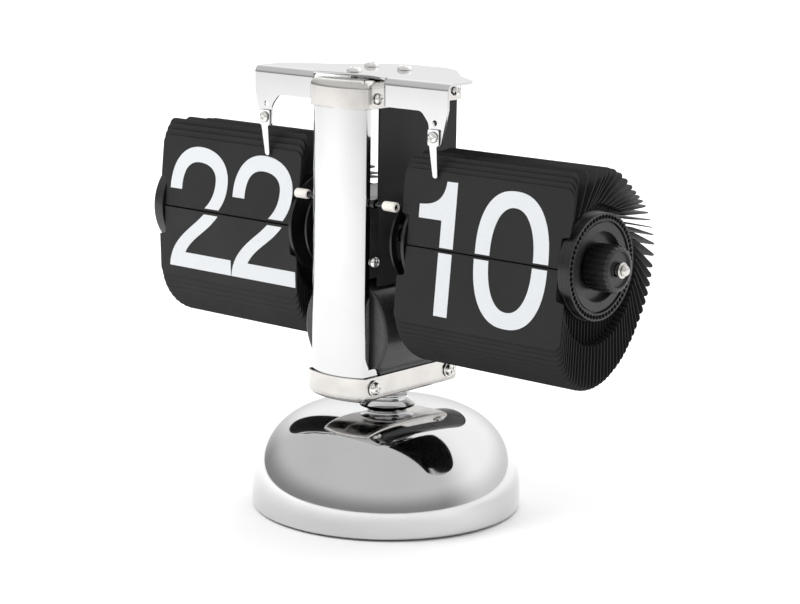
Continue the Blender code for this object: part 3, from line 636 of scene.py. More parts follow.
def screwPoints(radius, height, steps=48, rings=26, recess=0.6, depth=0.75, turn=0.6):
    # a domed pan head over a polar grid; the cross is cut where either arm's smooth mask is on
    share = np.concatenate([np.linspace(0, 0.86, rings - 6), np.linspace(0.9, 1.0, 6)])[:, None]
    angle = np.linspace(0, math.tau, steps, endpoint=False)[None, :] + turn
    u = share * radius * np.cos(angle - turn)
    v = share * radius * np.sin(angle - turn)
    dome = height * (1 - share ** 3.2) ** 0.55 * np.ones_like(angle)
    arm = recess * radius
    wide = 0.15 * radius
    step = 0.05 * radius

    def inside(a, b):
        along = 1 / (1 + np.exp((np.abs(a) - arm) / (0.4 * step)))
        return along * (1 / (1 + np.exp((np.abs(b) - wide) / (0.35 * step))))

    cross = np.maximum(inside(u, v), inside(v, u))
    fall = depth * np.clip(1.15 - np.hypot(u, v) / (arm * 1.25), 0.25, 1.0)
    top = dome - cross * np.minimum(fall, dome * 0.9)
    cu, su = math.cos(turn), math.sin(turn)
    return u * cu - v * su, u * su + v * cu, top


screwSizes = {
    # head radius, head height, shank length and washer thickness
    "lower": (2.3, 1.35, 3.0, 0.35),
    "upper": (1.85, 1.3, 12.7, 0.0),
    "middle": (1.95, 1.3, 11.7, 0.0),
    "top": (2.6, 1.5, 2.8, 0.0),
    "clip": (1.85, 1.05, 1.9, 0.0),
}


def screwPiece(name, kind, axis, sign, seat, centre, node, turn):
    # head, optional washer and shank as one closed surface; sign says which way the head looks
    radius, height, tail, washer = screwSizes[kind]
    shank = 1.1
    a, b, top = screwPoints(radius, height, turn=turn)
    rows, steps = top.shape
    main, first, second = axes[axis]
    head = np.zeros((rows, steps, 3))
    head[..., main] = seat + sign * (washer + top)
    head[..., first] = centre[0] + a
    head[..., second] = centre[1] + b
    angle = np.linspace(0, math.tau, steps, endpoint=False) + turn
    under = [(washer, radius)]
    if washer:
        under += [(washer, radius * 1.13), (washer * 0.85, radius * 1.17), (0.0, radius * 1.17)]
    under += [(0.0, shank), (-tail, shank), (-tail, 0.0)]
    skirt = np.zeros((len(under), steps, 3))
    for row, (place, r) in enumerate(under):
        skirt[row, :, main] = seat + sign * place
        skirt[row, :, first] = centre[0] + r * np.cos(angle)
        skirt[row, :, second] = centre[1] + r * np.sin(angle)
    points = np.concatenate([head, skirt]).reshape(-1, 3)
    addPiece(name, points, closedGrid(rows + len(under), steps, False, True), "screw", "frame", "screw",
             (node,) if node else (), sharp=32.0)


def makeScrews():
    spots = screwSpots
    face = spots["face"]
    for end, spot, turn in (("front", spots["lower"][0], 0.35), ("rear", spots["lower"][1], 0.9)):
        for side, sign in (("left", -1), ("right", 1)):
            screwPiece(f"lowerScrew_{end}_{side}", "lower", "X", sign, sign * face, spot,
                       f"lower_screw_{end}_{side}", turn + 0.5 * (sign < 0))
    for label, kind, spot, seat in (("upper_bolt_front", "upper", spots["upper"][0], face),
                                    ("upper_bolt_rear", "upper", spots["upper"][1], face),
                                    ("middle_bolt", "middle", spots["middle"], spots["middleFace"])):
        name = label.replace("_bolt", "Bolt")
        # a through bolt with a head on each side; the right one stands for the node
        screwPiece(name + "_right", kind, "X", 1, seat, spot, label, 0.5)
        screwPiece(name + "_left", kind, "X", -1, -seat, spot, None, 1.1)
    for number, spot in enumerate(spots["top"]):
        screwPiece(f"topScrew_{number + 1}", "top", "Z", 1, spots["topFace"], spot, f"arm_screw_{number + 1}",
                   0.3 + 0.7 * number)


# ---- arm plate and clips

armSizes = {
    "half": 42.3, "z": (147.7, 148.6), "edge": 0.14, "bend": 2.4,
    "flangeY": (-21.3, -20.5), "flangeTop": 148.3, "flangeLow": 139.3, "flangeIn": 15.5, "tabLow": 128.6,
    # right half of the plate's outline from its front edge to its rear, and the radius at each corner
    "plate": ((15.5, -20.9), (42.3, -20.9), (42.3, -9.8), (40.8, -7.0), (29.0, 1.4), (26.0, 4.4), (15.5, 15.5),
              (8.0, 20.0)),
    "rounds": (0, 0.5, 1.2, 1.2, 3.0, 3.0, 4.0, 5.0),
    # the hollow over the cap: half its width, its deepest place and its depth
    "hollow": (13.6, -18.2, 2.7),
    "spareHole": (0.95, 135.9),
}
clipSizes = {"x": 36.9, "y": (-22.1, -21.6), "screw": 131.5, "face": -22.25, "tip": 118.0, "bendAt": 128.5,
             "lean": 0.13}


def bendSections():
    # (y, z) sections of the sheet in the bend, and of the square corner outside it
    s = armSizes
    front, top, bend = s["flangeY"][0], s["z"][1], s["bend"]
    within = bend - (top - s["z"][0])
    turn = np.linspace(0, math.pi / 2, 10)
    arc = np.stack([front + bend * (1 - np.cos(turn)), top - bend * (1 - np.sin(turn))], axis=1)
    inner = np.stack([front + bend - within * np.cos(turn), top - bend + within * np.sin(turn)], axis=1)
    corner = [(front + bend, top + 2), (front - 2, top + 2), (front - 2, top - bend)]
    return np.concatenate([arc, inner[::-1]]), np.concatenate([arc, corner])


def makeArm():
    s = armSizes
    half = np.array(s["plate"])
    reach, deepest, depth = s["hollow"]
    sweep = np.linspace(-reach, reach, 33)
    # the front edge over the cap is one shallow hollow, a parabola
    hollow = np.stack([sweep, deepest - depth * (sweep / reach) ** 2], axis=1)
    corners = np.concatenate([half, half[::-1] * (-1, 1), hollow])
    radii = np.concatenate([s["rounds"], s["rounds"][::-1], np.zeros(len(hollow))])
    arm = platePiece("armPlate", eased(corners, radii, 8), "Z", *s["z"], "chrome", "frame", "chrome",
                     ("arm_plate",), edge=s["edge"], sharp=35.0)
    end = s["half"] - 0.1
    flange = [(s["flangeIn"], s["flangeTop"]), (s["flangeIn"], s["flangeLow"]), (31.2, s["flangeLow"]),
              (34.3, s["tabLow"] + 7.0), (34.6, s["tabLow"]), (39.3, s["tabLow"]), (end, s["flangeLow"] + 1.0),
              (end, s["flangeTop"])]
    flange = eased(flange, [0, 0.8, 3.2, 3.5, 0.9, 1.5, 1.5, 0], 8)
    sheet, corner = bendSections()
    holeRadius, holeHeight = s["spareHole"]
    joins, cuts = [], []
    for sign in (-1, 1):
        joins.append(helper(*platePoints(flange * (sign, 1), "Y", *s["flangeY"], s["edge"])))
        joins.append(plateHelper(sheet, "X", *sorted((sign * (s["flangeIn"] + 0.1), sign * (s["half"] - 0.3)))))
        cuts.append(barHelper(holeRadius, "Y", -24, -18, (sign * clipSizes["x"], holeHeight)))
        cuts.append(plateHelper(corner, "X", *sorted((sign * s["flangeIn"], sign * 60.0))))
    carve(arm, "UNION", *joins)
    carve(arm, "DIFFERENCE", *cuts)
    for side, sign in (("hour", -1), ("minute", 1)):
        makeClip(side, sign)


def makeClip(side, sign):
    s = clipSizes
    tip = s["tip"] + 0.4
    corners = [(-2.2, 134.0), (-2.2, 128.9), (-1.5, 128.7), (-0.92, tip), (0.92, tip), (1.5, 128.7), (2.2, 128.9),
               (2.2, 134.0)]
    outline = eased(corners, [0.5, 0.25, 0.5, 0.85, 0.85, 0.5, 0.25, 0.5], 6) + (sign * s["x"], 0)
    points, faces = platePoints(outline, "Y", *s["y"], 0.1)
    # below its head the tongue leans back towards the leaves
    points[:, 1] += s["lean"] * np.clip(s["bendAt"] - points[:, 2], 0, None)
    addPiece(f"{side}ClipFinger", points, faces, "chrome", "frame", "chrome", (f"{side}_clip_finger",), sharp=40.0)
    screwPiece(f"{side}ClipScrew", "clip", "Y", -1, s["face"], (sign * s["x"], s["screw"]), f"{side}_clip_screw",
               0.25)


# ---- movement, stops and battery tube

stopSizes = {
    "centre": (-22.4, 107.6), "reach": 21.6,
    "shift": 0.6,  # both stops sit a little to the right, as the drums do
    # (distance from the middle, radius) of the arm's collar, and the arm's own radius
    "collar": ((12.0, 0.0), (12.0, 1.4), (12.2, 1.5), (13.4, 1.5), (13.6, 1.4)), "arm": 0.8,
    # the sleeve's length, radius, rounding, and how long its inner and outer ends are
    "sleeve": (5.0, 1.6, 0.5, 0.8, 0.4),
}
tubeSizes = {
    "z": 64.3, "radius": 18.2, "bore": 17.45, "front": -21.6, "rear": 43.7, "frontWall": 3.4, "soft": 1.1,
    # boxes on the right side: the rail in the bracket, the ledge on its rim, the relief for the column's tab
    "rail": ((9.6, 11.7), (-16.0, 20.6), (42.4, 49.4)),
    "ledge": ((11.0, 12.5), (-18.0, 21.2), (50.0, 52.2)),
    "relief": ((10.6, 14.0), (-23.0, -18.2), (40.0, 52.6)),
    # (distance behind the tube, radius) of the cap, and its coin slot's half width, half height and floor
    "cap": ((0.3, 0.0), (0.3, 17.8), (0.6, 18.1), (1.0, 18.2), (1.8, 18.2), (2.2, 17.9), (2.3, 17.4), (2.3, 15.0),
            (2.0, 14.7), (2.0, 0.0)),
    "slot": (9.0, 1.1, 1.1),
}


def makeMovement():
    for node, finish, slotName, width in (("movement_case", "housing", "housing_black", 0.35),
                                          ("movement_cover", "housing", "housing_black", 0.3),
                                          ("side_panel", "panel", "leaf", 0.12)):
        refined(node, finish, slotName, width)
    for finish, shown in (("nylon", ("counter_gear", "hour_gear", "minute_drive_gear")),
                          ("brass", ("minute_pinion", "counter_pinion", "motor_pinion")),
                          ("steel", ("motor",)), ("board", ("circuit_board",))):
        for node in shown:
            assign(node, finish)
    s = stopSizes
    length, radius, soft, near, far = s["sleeve"]
    nose = np.linspace(0, math.pi / 2, 9)
    for side, sign in (("hour", -1), ("minute", 1)):
        end = s["reach"] + sign * s["shift"]
        arm = [*s["collar"], (13.6, s["arm"]), (end - 0.2, s["arm"]), (end, s["arm"] - 0.2), (end, 0.0)]
        spunPiece(f"{side}StopArm", [(sign * x, r) for x, r in arm], "X", s["centre"], 32, "dark", "frame",
                  "steel", (f"{side}_stop_arm",))
        # a soft nylon sleeve whose ends are quarter ellipses
        flat = radius - soft
        sleeve = [(end - length + near * (1 - math.cos(a)), flat + soft * math.sin(a)) for a in nose]
        sleeve += [(end + 0.1 + far * math.sin(a), flat + soft * math.cos(a)) for a in nose]
        spunPiece(f"{side}StopCap", [(sign * x, r) for x, r in sleeve], "X", s["centre"], 40, "nylon", "frame",
                  "nylon", (f"{side}_stop_cap",))


def makeBattery():
    s = tubeSizes
    centre = (0.0, s["z"])
    start, rear, radius, bore, soft = s["front"], s["rear"], s["radius"], s["bore"], s["soft"]
    floor = start + s["frontWall"]
    # a tube with a closed, softly rounded front end
    turn = np.linspace(0, math.pi / 2, 7)[::-1]
    outer = [(start + soft * (1 - math.sin(a)), radius - soft * (1 - math.cos(a))) for a in turn]
    profile = [(start, 0.0), *outer, (rear - 0.2, radius), (rear, radius - 0.2), (rear, bore), (floor, bore),
               (floor, 0.0)]
    tube = spunPiece("batteryTube", profile, "Y", centre, 128, "tube", "frame", "tube_black", ("battery_tube",))
    carve(tube, "UNION", *pairedBlocks(s["rail"], 0.1), *pairedBlocks(s["ledge"], 0.15))
    rearScrew = screwSpots["lower"][1:]
    holes = boltHoles(rearScrew, -14, -9) + boltHoles(rearScrew, 9, 14)
    carve(tube, "DIFFERENCE", *pairedBlocks(s["relief"]), *holes)
    lid = spunPiece("batteryCap", [(rear + y, r) for y, r in s["cap"]], "Y", centre, 96, "tube", "battery_cap",
                    "tube_black", ("battery_cap",))
    wide, tall, deep = s["slot"]
    coin = eased([(x * wide, s["z"] + y * tall) for x, y in ((-1, -1), (1, -1), (1, 1), (-1, 1))], 1.0, 5)
    carve(lid, "DIFFERENCE", plateHelper(coin, "Y", rear + deep, rear + 3.0))
    for node, finish in (("battery_cell", "cell"), ("battery_front_contact", "brass"),
                         ("battery_rear_contact", "brass")):
        assign(node, finish)


# ---- drums, leaves and numbers

drumSizes = {"axisY": -6.5, "axisZ": 95.4, "pins": 15.6, "shift": 1.0, "turn": 2.2}
leafSizes = {"length": 23.9, "edge": {"minute": 0.6, "hour": 0.8}, "thick": 0.27, "inner": 22.85,
             "outer": 89.55, "notch": 3.0, "notchLong": 8.8, "corner": 2.6, "crank": 0.2, "sway": 1.3}
# lean of a leaf (0 up, 90 back, 180 down) against the place of its pins round the drum from the front
leanTables = {
    "minute": ((0, 5), (24, 9), (30, 22), (38, 36), (54, 44), (69, 62), (93, 85), (111, 95), (138, 120), (158, 140),
               (183, 160), (203, 169), (233, 177), (273, 181), (333, 184), (360, 186)),
    "hour": ((0, 5), (30, 9), (37, 28), (44, 38), (56, 46), (69, 62), (93, 85), (111, 95), (138, 118), (158, 136),
             (183, 154), (203, 163), (233, 170), (273, 174), (333, 177), (360, 178)),
}


def leafFrame(side, place):
    # pins, direction along the leaf, and the way its back looks, in (Y, Z)
    place = place + 360 if place < 0 else place
    turn = math.radians(place)
    table = np.array(leanTables[side])
    # leaves at the rear hang a little unevenly: a slow sine of the place is added to their lean
    free = np.clip((place - 40) / 20, 0, 1) * np.clip((165 - place) / 20, 0, 1)
    sway = leafSizes["sway"] * free * math.sin(place * 1.9)
    lean = math.radians(np.interp(place, table[:, 0], table[:, 1]) + sway)
    d = drumSizes
    pins = np.array([d["axisY"] - d["pins"] * math.cos(turn), d["axisZ"] + d["pins"] * math.sin(turn)])
    return pins, np.array([math.sin(lean), math.cos(lean)]), np.array([math.cos(lean), -math.sin(lean)])


def leafOutline(edge):
    # a card with two notches for the wheel rims and round outer corners; x from its middle, reach from its pins
    s = leafSizes
    half = (s["outer"] - s["inner"]) / 2
    slim = half - s["notch"]
    corners = [(-slim, -edge), (slim, -edge), (slim, s["notchLong"]), (half, s["notchLong"] + 0.6),
               (half, s["length"]), (-half, s["length"]), (-half, s["notchLong"] + 0.6), (-slim, s["notchLong"])]
    return eased(corners, [0.25, 0.25, 0.6, 0.5, s["corner"], s["corner"], 0.5, 0.6], 4)


def leafPack(name, side, sign, places, body, node, crank=0.0):
    # each leaf is the card outline twice, its thickness apart, joined round its rim
    s = leafSizes
    outline = leafOutline(s["edge"][side])
    count = len(outline)
    middle = sign * (s["inner"] + s["outer"]) / 2 + drumSizes["shift"]
    rim = closedGrid(2, count, False, True)
    points = []
    faces = []
    for number, place in enumerate(places):
        pins, way, back = leafFrame(side, place)
        for shift in (-s["thick"] / 2 + crank, s["thick"] / 2 + crank):
            across = pins + outline[:, 1:] * way + shift * back
            points.append(np.column_stack([middle + outline[:, 0], across]))
        base = 2 * count * number
        faces += [list(face + base) for face in rim]
        faces += [list(range(base, base + count)), list(range(base + count, base + 2 * count))]
    addPiece(name, np.concatenate(points), faces, "leaf", body, "leaf", (node,), sharp=30.0)


def curveThrough(start, *spans, steps=14):
    # joins cubic spans (two handles and an end) and straight spans (an end alone) into one outline
    points = [np.array(start, float)]
    for span in spans:
        if len(span) == 2:
            points.append(np.array(span, float))
            continue
        a, b, c, d = points[-1], *[np.array(p, float) for p in span]
        t = np.linspace(0, 1, steps + 1)[1:, None]
        points += list((1 - t) ** 3 * a + 3 * t * (1 - t) ** 2 * b + 3 * t ** 2 * (1 - t) * c + t ** 3 * d)
    return np.array(points)


def roundRing(half, tall, middle, power=2.35, steps=72):
    # a superellipse: x and y are signed powers of cosine and sine
    angle = np.linspace(0, math.tau, steps, endpoint=False)
    c, n = np.cos(angle), np.sin(angle)
    return np.stack([half * np.sign(c) * np.abs(c) ** (2 / power),
                     middle + tall * np.sign(n) * np.abs(n) ** (2 / power)], axis=1)


def numeralLoops(digit):
    # outlines round a centre line at 0, heights from the split between the leaves
    if digit == "0":
        return [roundRing(14.3, 20.6, 0.4), roundRing(8.5, 15.45, 0.4, 2.2)]
    if digit == "1":
        return [curveThrough((4.0, 21.1), (4.0, -20.1), (-1.5, -20.1), (-1.5, 8.6), (-10.9, 8.6), (-10.9, 13.0),
                             ((-3.6, 13.2), (-0.9, 15.8), (-0.3, 21.1)))]
    if digit == "2":
        return [curveThrough((-14.0, 5.5), ((-14.0, 15.0), (-8.6, 21.0), (-0.2, 21.0)),
                             ((8.2, 21.0), (14.0, 16.6), (14.0, 9.8)), ((14.0, 4.8), (11.8, 0.9), (8.0, -2.4)),
                             ((3.6, -6.6), (-3.4, -9.6), (-6.3, -14.7)), (16.2, -14.7), (16.2, -20.1), (-14.3, -20.1),
                             ((-13.4, -10.9), (-4.4, -6.6), (2.2, -1.2)), ((6.2, 2.0), (8.2, 5.4), (8.2, 9.8)),
                             ((8.2, 13.6), (4.8, 15.7), (-0.2, 15.7)), ((-5.6, 15.7), (-8.3, 12.2), (-8.3, 5.5)))]
    # a nine: a bowl in the upper half and a tail that hooks back below
    return [curveThrough((-13.2, -11.0), ((-12.4, -17.2), (-7.6, -20.6), (-1.4, -20.6)),
                         ((9.2, -20.6), (14.3, -12.0), (14.3, 2.6)), ((14.3, 14.6), (9.4, 21.2), (0.2, 21.2)),
                         ((-8.4, 21.2), (-14.0, 15.4), (-14.0, 7.0)), ((-14.0, -1.0), (-8.4, -6.4), (-1.0, -6.4)),
                         ((3.2, -6.4), (6.6, -4.8), (8.7, -1.8)), ((8.4, -10.6), (4.8, -15.4), (-1.2, -15.4)),
                         ((-4.8, -15.4), (-7.2, -13.8), (-7.8, -11.0))), roundRing(8.2, 6.9, 7.6, 2.1)]


numberSizes = {"minuteCentres": (41.85, 69.1), "hourCentres": (-69.5, -38.75), "ink": 0.03, "skin": 0.005}


def inkMesh(digit, centre, upper):
    # the numeral as a filled flat shape, cut off at the split and kept on one side of it
    curve = bpy.data.curves.new("numeral", "CURVE")
    curve.dimensions = "2D"
    curve.fill_mode = "BOTH"
    for loop in numeralLoops(digit):
        spline = curve.splines.new("POLY")
        spline.points.add(len(loop) - 1)
        flat = np.column_stack([loop[:, 0] + centre, loop[:, 1], np.zeros(len(loop)), np.ones(len(loop))])
        spline.points.foreach_set("co", flat.ravel())
        spline.use_cyclic_u = True
    holder = bpy.data.objects.new("numeral", curve)
    bpy.context.scene.collection.objects.link(holder)
    depsgraph = bpy.context.evaluated_depsgraph_get()
    mesh = bpy.data.meshes.new_from_object(holder.evaluated_get(depsgraph))
    bpy.data.objects.remove(holder)
    form = bmesh.new()
    form.from_mesh(mesh)
    bmesh.ops.bisect_plane(form, geom=[*form.verts, *form.edges, *form.faces], dist=1e-5, plane_co=(0, 0, 0),
                           plane_no=(0, -1 if upper else 1, 0), clear_outer=True)
    form.to_mesh(mesh)
    form.free()
    return mesh


def printHalf(name, side, digits, centres, place, upper, standOff, outward, body):
    # lays the ink on a leaf: width stays, height runs along the leaf from its pins
    pins, way, back = leafFrame(side, place)
    points = []
    faces = []
    total = 0
    for digit, centre in zip(digits, centres):
        mesh = inkMesh(digit, centre, upper)
        flat = np.zeros(len(mesh.vertices) * 3)
        mesh.vertices.foreach_get("co", flat)
        flat = flat.reshape(-1, 3)
        reach = flat[:, 1:2] if upper else -flat[:, 1:2]
        for height in (standOff, standOff + outward * numberSizes["ink"]):
            points.append(np.column_stack([flat[:, 0], pins + reach * way + height * back]))
        count = len(flat)
        front = [[total + i for i in polygon.vertices] for polygon in mesh.polygons]
        form = bmesh.new()
        form.from_mesh(mesh)
        rim = [(edge.verts[0].index, edge.verts[1].index) for edge in form.edges if len(edge.link_faces) == 1]
        form.free()
        faces += front + [[i + count for i in loop[::-1]] for loop in front]
        faces += [[total + a, total + b, total + b + count, total + a + count] for a, b in rim]
        total += 2 * count
    addPiece(name, np.concatenate(points), faces, "print", body, "leaf", sharp=30.0)


def makeNumbers():
    # now on the front leaves; the value before on the leaf below and on the back of the one that fell
    s = leafSizes
    n = numberSizes
    skin, crank, half = n["skin"], s["crank"], s["thick"] / 2
    for side, now, before, centres, step in (("minute", "10", "09", n["minuteCentres"], 6.0),
                                             ("hour", "22", "21", n["hourCentres"], 7.5)):
        first = step / 2 + drumSizes["turn"]
        falling = f"{side}_falling_leaf"
        for label, digits, place, upper, standOff, outward, body in (
                ("NumberUpper", now, first, True, -half - skin, -1, "frame"),
                ("NumberLower", now, first - step, False, s["thick"] + crank + skin, 1, falling),
                ("BeforeUpper", before, first - step, True, crank - skin, -1, falling),
                ("BeforeLower", before, 360 + first - 2 * step, False, half + skin, 1, "frame")):
            printHalf(side + label, side, digits, centres, place, upper, standOff, outward, body)


def makeLeaves():
    for side, sign, leaves, upperEnd in (("minute", 1, 60, 25), ("hour", -1, 48, 31)):
        step = 360 / leaves
        places = [step * (i + 0.5) + drumSizes["turn"] for i in range(leaves - 1)]
        groups = (("UpperLeaves", "upper_leaves", [p for p in places if p < upperEnd]),
                  ("BackLeaves", "back_leaves", [p for p in places if upperEnd < p < 179]),
                  ("LowerLeaves", "lower_leaves", [p for p in places if p > 179]))
        for label, node, group in groups:
            leafPack(side + label, side, sign, group, "frame", f"{side}_{node}")
        leafPack(f"{side}FallingLeaf", side, sign, [360 - step / 2 + drumSizes["turn"]], f"{side}_falling_leaf",
                 f"{side}_falling_leaf", leafSizes["crank"] + leafSizes["thick"] / 2)


def holedRing(sign, face, low, high, holes, holeRadius, depth, centre):
    # a flat ring whose height dips where a point is nearer to a pin hole than its radius
    radius = np.linspace(low, high, 23)[:, None]
    angle = np.linspace(0, math.tau, holes * 12, endpoint=False)[None, :]
    spot = np.round(angle / (math.tau / holes)) * (math.tau / holes)
    middle = drumSizes["pins"]
    away = np.hypot(radius * np.cos(angle) - middle * np.cos(spot), radius * np.sin(angle) - middle * np.sin(spot))
    dip = depth / (1 + np.exp((away - holeRadius) / 0.05))
    points = np.zeros((*away.shape, 3))
    points[..., 0] = sign * (face - dip) + drumSizes["shift"]
    points[..., 1] = centre[0] + radius * np.cos(angle)
    points[..., 2] = centre[1] + radius * np.sin(angle)
    return points


wheelSizes = {
    # (distance from the middle, radius) round each section
    "outer": ((91.08, 16.85), (88.35, 16.9), (88.25, 16.9), (88.2, 17.0), (87.0, 17.0), (86.9, 16.9), (86.9, 5.0),
              (83.0, 5.0), (83.0, 2.3), (88.6, 2.3), (88.6, 10.9), (88.8, 11.0), (90.7, 11.0), (90.8, 11.1),
              (90.8, 13.8), (90.3, 13.9), (90.3, 14.25), (91.1, 14.4)),
    "inner": ((16.8, 2.3), (16.8, 4.8), (17.0, 5.0), (18.3, 5.0), (18.3, 15.4), (18.45, 15.6), (19.15, 15.6),
              (19.3, 15.4), (19.3, 5.0), (24.2, 5.0), (24.2, 16.85), (24.35, 17.0), (25.35, 17.0), (25.5, 16.85),
              (25.5, 13.2), (86.4, 13.2), (86.4, 9.9), (27.0, 9.9), (27.0, 2.3)),
    "knob": ((88.9, 6.7, 0.0), (89.0, 6.9, 0.0), (89.6, 7.0, 1.0), (96.9, 7.0, 1.0), (97.4, 6.85, 0.7),
             (97.75, 6.5, 0.15), (97.9, 6.1, 0.0), (97.9, 5.6, 0.0), (97.3, 5.3, 0.0), (97.3, 2.3, 0.0),
             (88.9, 2.3, 0.0)),
    "axle": ((97.0, 2.0), (98.2, 2.0), (98.2, 2.4), (98.3, 2.5), (99.1, 2.5), (99.2, 2.3), (99.3, 1.9), (99.9, 1.9),
             (100.0, 1.65)),
    "axleTip": ((101.3, 1.65), (101.75, 1.3), (101.9, 0.9), (101.9, 0.0)),  # not moved with the drums
    "axleInside": {"minute": 3.5, "hour": 7.6},
    # face and radii of the ring of pin holes; a hole's radius and depth
    "pinRing": (91.2, 14.45, 16.8),
    "pinHole": (0.55, 1.8),
    # inner wheel's windows: count, half a spoke in radians, inner and outer radius, rounding, cut from and to
    "windows": (5, 0.12, 6.6, 13.3, 0.8, (17.6, 20.4)),
    "ridges": (24, 0.4),  # round the knob, and their height
}


def makeWheels(side, sign, holes):
    d = drumSizes
    centre = (d["axisY"], d["axisZ"])
    body = f"{side}_drum"

    def placed(section):
        return [(sign * x + d["shift"], r) for x, r in section]

    # outer wheel: rim flange, pin-hole ring, plain step, dished middle
    face = holedRing(sign, *wheelSizes["pinRing"], holes, *wheelSizes["pinHole"], centre)
    count, steps = face.shape[:2]
    section = placed(wheelSizes["outer"])
    rows = np.concatenate([face.reshape(-1, 3), spunPoints(section, "X", centre, steps)])
    addPiece(f"{side}OuterWheel", rows, closedGrid(count + len(section), steps, True, True), "wheel", body,
             "wheel_black", (f"{side}_wheel_outer",), sharp=35.0)
    wheel = spunPiece(f"{side}InnerWheel", placed(wheelSizes["inner"]), "X", centre, 144, "wheel", body,
                      "wheel_black", (f"{side}_wheel_inner",), sharp=35.0)
    # each window is a sector of the thin inner ring between two spokes
    spokes, gap, low, high, soft, depth = wheelSizes["windows"]
    x = sorted(sign * place + d["shift"] for place in depth)
    windows = []
    for number in range(spokes):
        spread = np.linspace(gap, math.tau / spokes - gap, 15) + math.tau * number / spokes
        line = np.stack([np.cos(spread), np.sin(spread)], axis=1)
        corners = [soft if k in (0, 14, 15, 29) else 0 for k in range(30)]
        sector = eased(np.concatenate([high * line, low * line[::-1]]), corners, 4) + centre
        windows.append(plateHelper(sector, "X", *x))
    carve(wheel, "DIFFERENCE", *windows)
    # knurled knob: the radius ripples with the angle, soft at both ends
    ridges, depth = wheelSizes["ridges"]
    turn = np.linspace(0, math.tau, 12 * ridges, endpoint=False)
    ripple = np.clip(0.5 + 0.9 * np.cos(ridges * turn), 0, 1) * depth
    rows = []
    for x, r, share in wheelSizes["knob"]:
        radius = r + share * ripple
        rows.append(np.column_stack([np.full(len(turn), sign * x + d["shift"]), centre[0] + radius * np.cos(turn),
                                     centre[1] + radius * np.sin(turn)]))
    addPiece(f"{side}Knob", np.concatenate(rows), closedGrid(len(rows), len(turn), True, True), "wheel", body,
             "wheel_black", (f"{side}_knob",), sharp=40.0)
    inside = sign * wheelSizes["axleInside"][side]
    shaft = [(inside, 0.0), (inside, 2.0), *placed(wheelSizes["axle"])]
    shaft += [(sign * x, r) for x, r in wheelSizes["axleTip"]]
    spunPiece(f"{side}Axle", shaft, "X", centre, 48, "steel", body, "steel", (f"{side}_axle",))


# ---- stage, light and camera

def makeStage():
    floor = bpy.data.meshes.new("floor")
    size = 12.0  # metres from the middle to each side
    floor.from_pydata([(-size, -size, 0), (size, -size, 0), (size, size, 0), (-size, size, 0)], [], [(0, 1, 2, 3)])
    paper = Finish("whitePaper", Roughness=1.0, Specular_IOR_Level=0.0)
    fibre = paper.noise(0.01, 3.0)
    paper.connect(Base_Color=paper.mix(fibre, (0.94, 0.94, 0.94), (0.96, 0.96, 0.96)))
    floor.materials.append(paper.material)
    ground = bpy.data.objects.new("floor", floor)
    bpy.context.scene.collection.objects.link(ground)


lightPlan = {
    # name: (place in metres, aim in metres, size in metres, watts)
    "keyLeft": ((-1.6, -1.5, 1.5), (0.0, 0.0, 0.1), (1.6, 1.6), 6.0),
    "floorLeft": ((-0.44, -0.58, 0.85), (-0.42, -0.52, 0.0), (0.6, 0.6), 5.5),
    "floorRear": ((-0.9, 1.6, 1.4), (-0.9, 1.8, 0.0), (3.0, 2.4), 26.0),
    "floorRight": ((0.7, 0.5, 1.1), (0.6, 0.4, 0.0), (1.2, 1.2), 1.8),
}
skyPlan = {"low": 0.42, "high": 1.0, "rise": (0.02, 0.42), "rear": 0.75, "rearRise": (0.0, 0.7), "strength": 0.78}


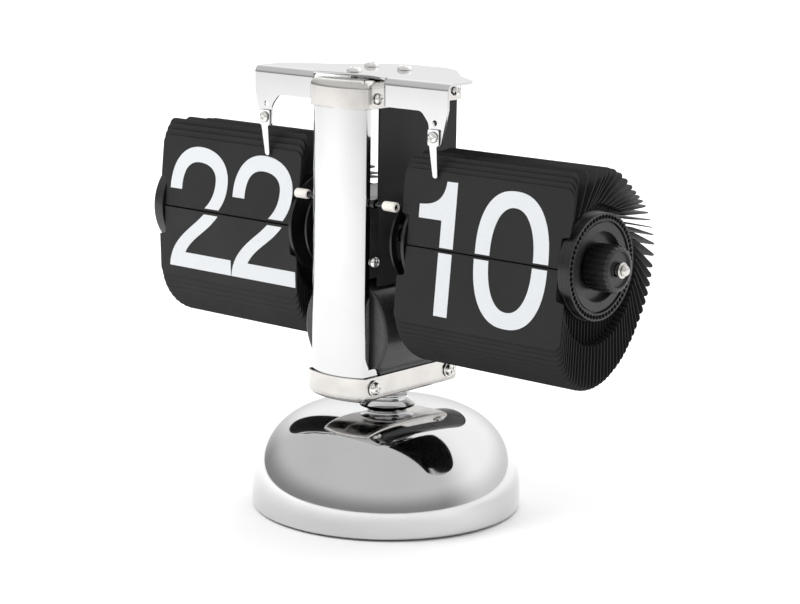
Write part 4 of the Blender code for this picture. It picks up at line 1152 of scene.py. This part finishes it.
def makeLights():
    for name, (spot, aim, size, power) in lightPlan.items():
        lamp = bpy.data.lights.new(name, "AREA")
        lamp.shape = "RECTANGLE"
        lamp.size, lamp.size_y = size
        lamp.energy = power
        holder = bpy.data.objects.new(name, lamp)
        holder.location = spot
        way = Vector(aim) - Vector(spot)
        holder.rotation_euler = way.to_track_quat("-Z", "Y").to_euler()
        holder.visible_glossy = False
        bpy.context.scene.collection.objects.link(holder)
    # the studio: darker towards the horizon in front, a bright wall behind
    p = skyPlan
    sky = Finish("studio", bpy.data.worlds.new("studio"), "Background", Strength=p["strength"])
    way = sky.node("ShaderNodeTexCoord", output="Generated")
    rise = sky.node("ShaderNodeSeparateXYZ", None, {0: way}, "Z").within(*p["rise"], p["low"], p["high"])
    rear = sky.node("ShaderNodeSeparateXYZ", None, {0: way}, "Y").within(*p["rearRise"], 0.0, p["rear"])
    bpy.context.scene.world = sky.connect(Color=rise + rear)


cameraPlan = {"azimuth": 40.71, "elevation": 11.67, "distance": 733.1, "side": 3.96, "height": 70.18,
              "roll": 0.8, "lens": 97.53}


def makeCamera():
    c = cameraPlan
    a, e = math.radians(c["azimuth"]), math.radians(c["elevation"])
    back = Vector((math.sin(a) * math.cos(e), -math.cos(a) * math.cos(e), math.sin(e)))
    right = Vector((math.cos(a), math.sin(a), 0))
    spot = right * c["side"] + Vector((0, 0, c["height"])) + back * c["distance"]
    data = bpy.data.cameras.new("camera")
    data.lens = c["lens"]
    data.sensor_width = 36.0
    data.clip_start = 0.01
    holder = bpy.data.objects.new("camera", data)
    holder.rotation_euler = (-back).to_track_quat("-Z", "Y").to_euler()
    holder.location = spot * mm
    bpy.context.scene.collection.objects.link(holder)
    bpy.context.view_layer.update()
    holder.rotation_euler.rotate_axis("Z", math.radians(c["roll"]))
    bpy.context.scene.camera = holder
    bpy.context.scene.view_settings.view_transform = "Standard"


makeCamera()
makeStage()
makeLights()
print("camera, floor and light set")
makeBase()
print("base made")
makeColumn()
for label, node, openUp in (("lower", "lower_bracket", True), ("upper", "upper_bracket", False)):
    makeBracket(label + "Bracket", node, bracketSizes[label], openUp, screwSpots[label])
makeScrews()
print("column, brackets and screws made")
makeArm()
print("arm and clips made")
makeMovement()
makeBattery()
print("movement and battery tube made")
makeLeaves()
makeNumbers()
for side, sign, holes in (("minute", 1, 60), ("hour", -1, 48)):
    makeWheels(side, sign, holes)
print("drums, leaves and numbers made")
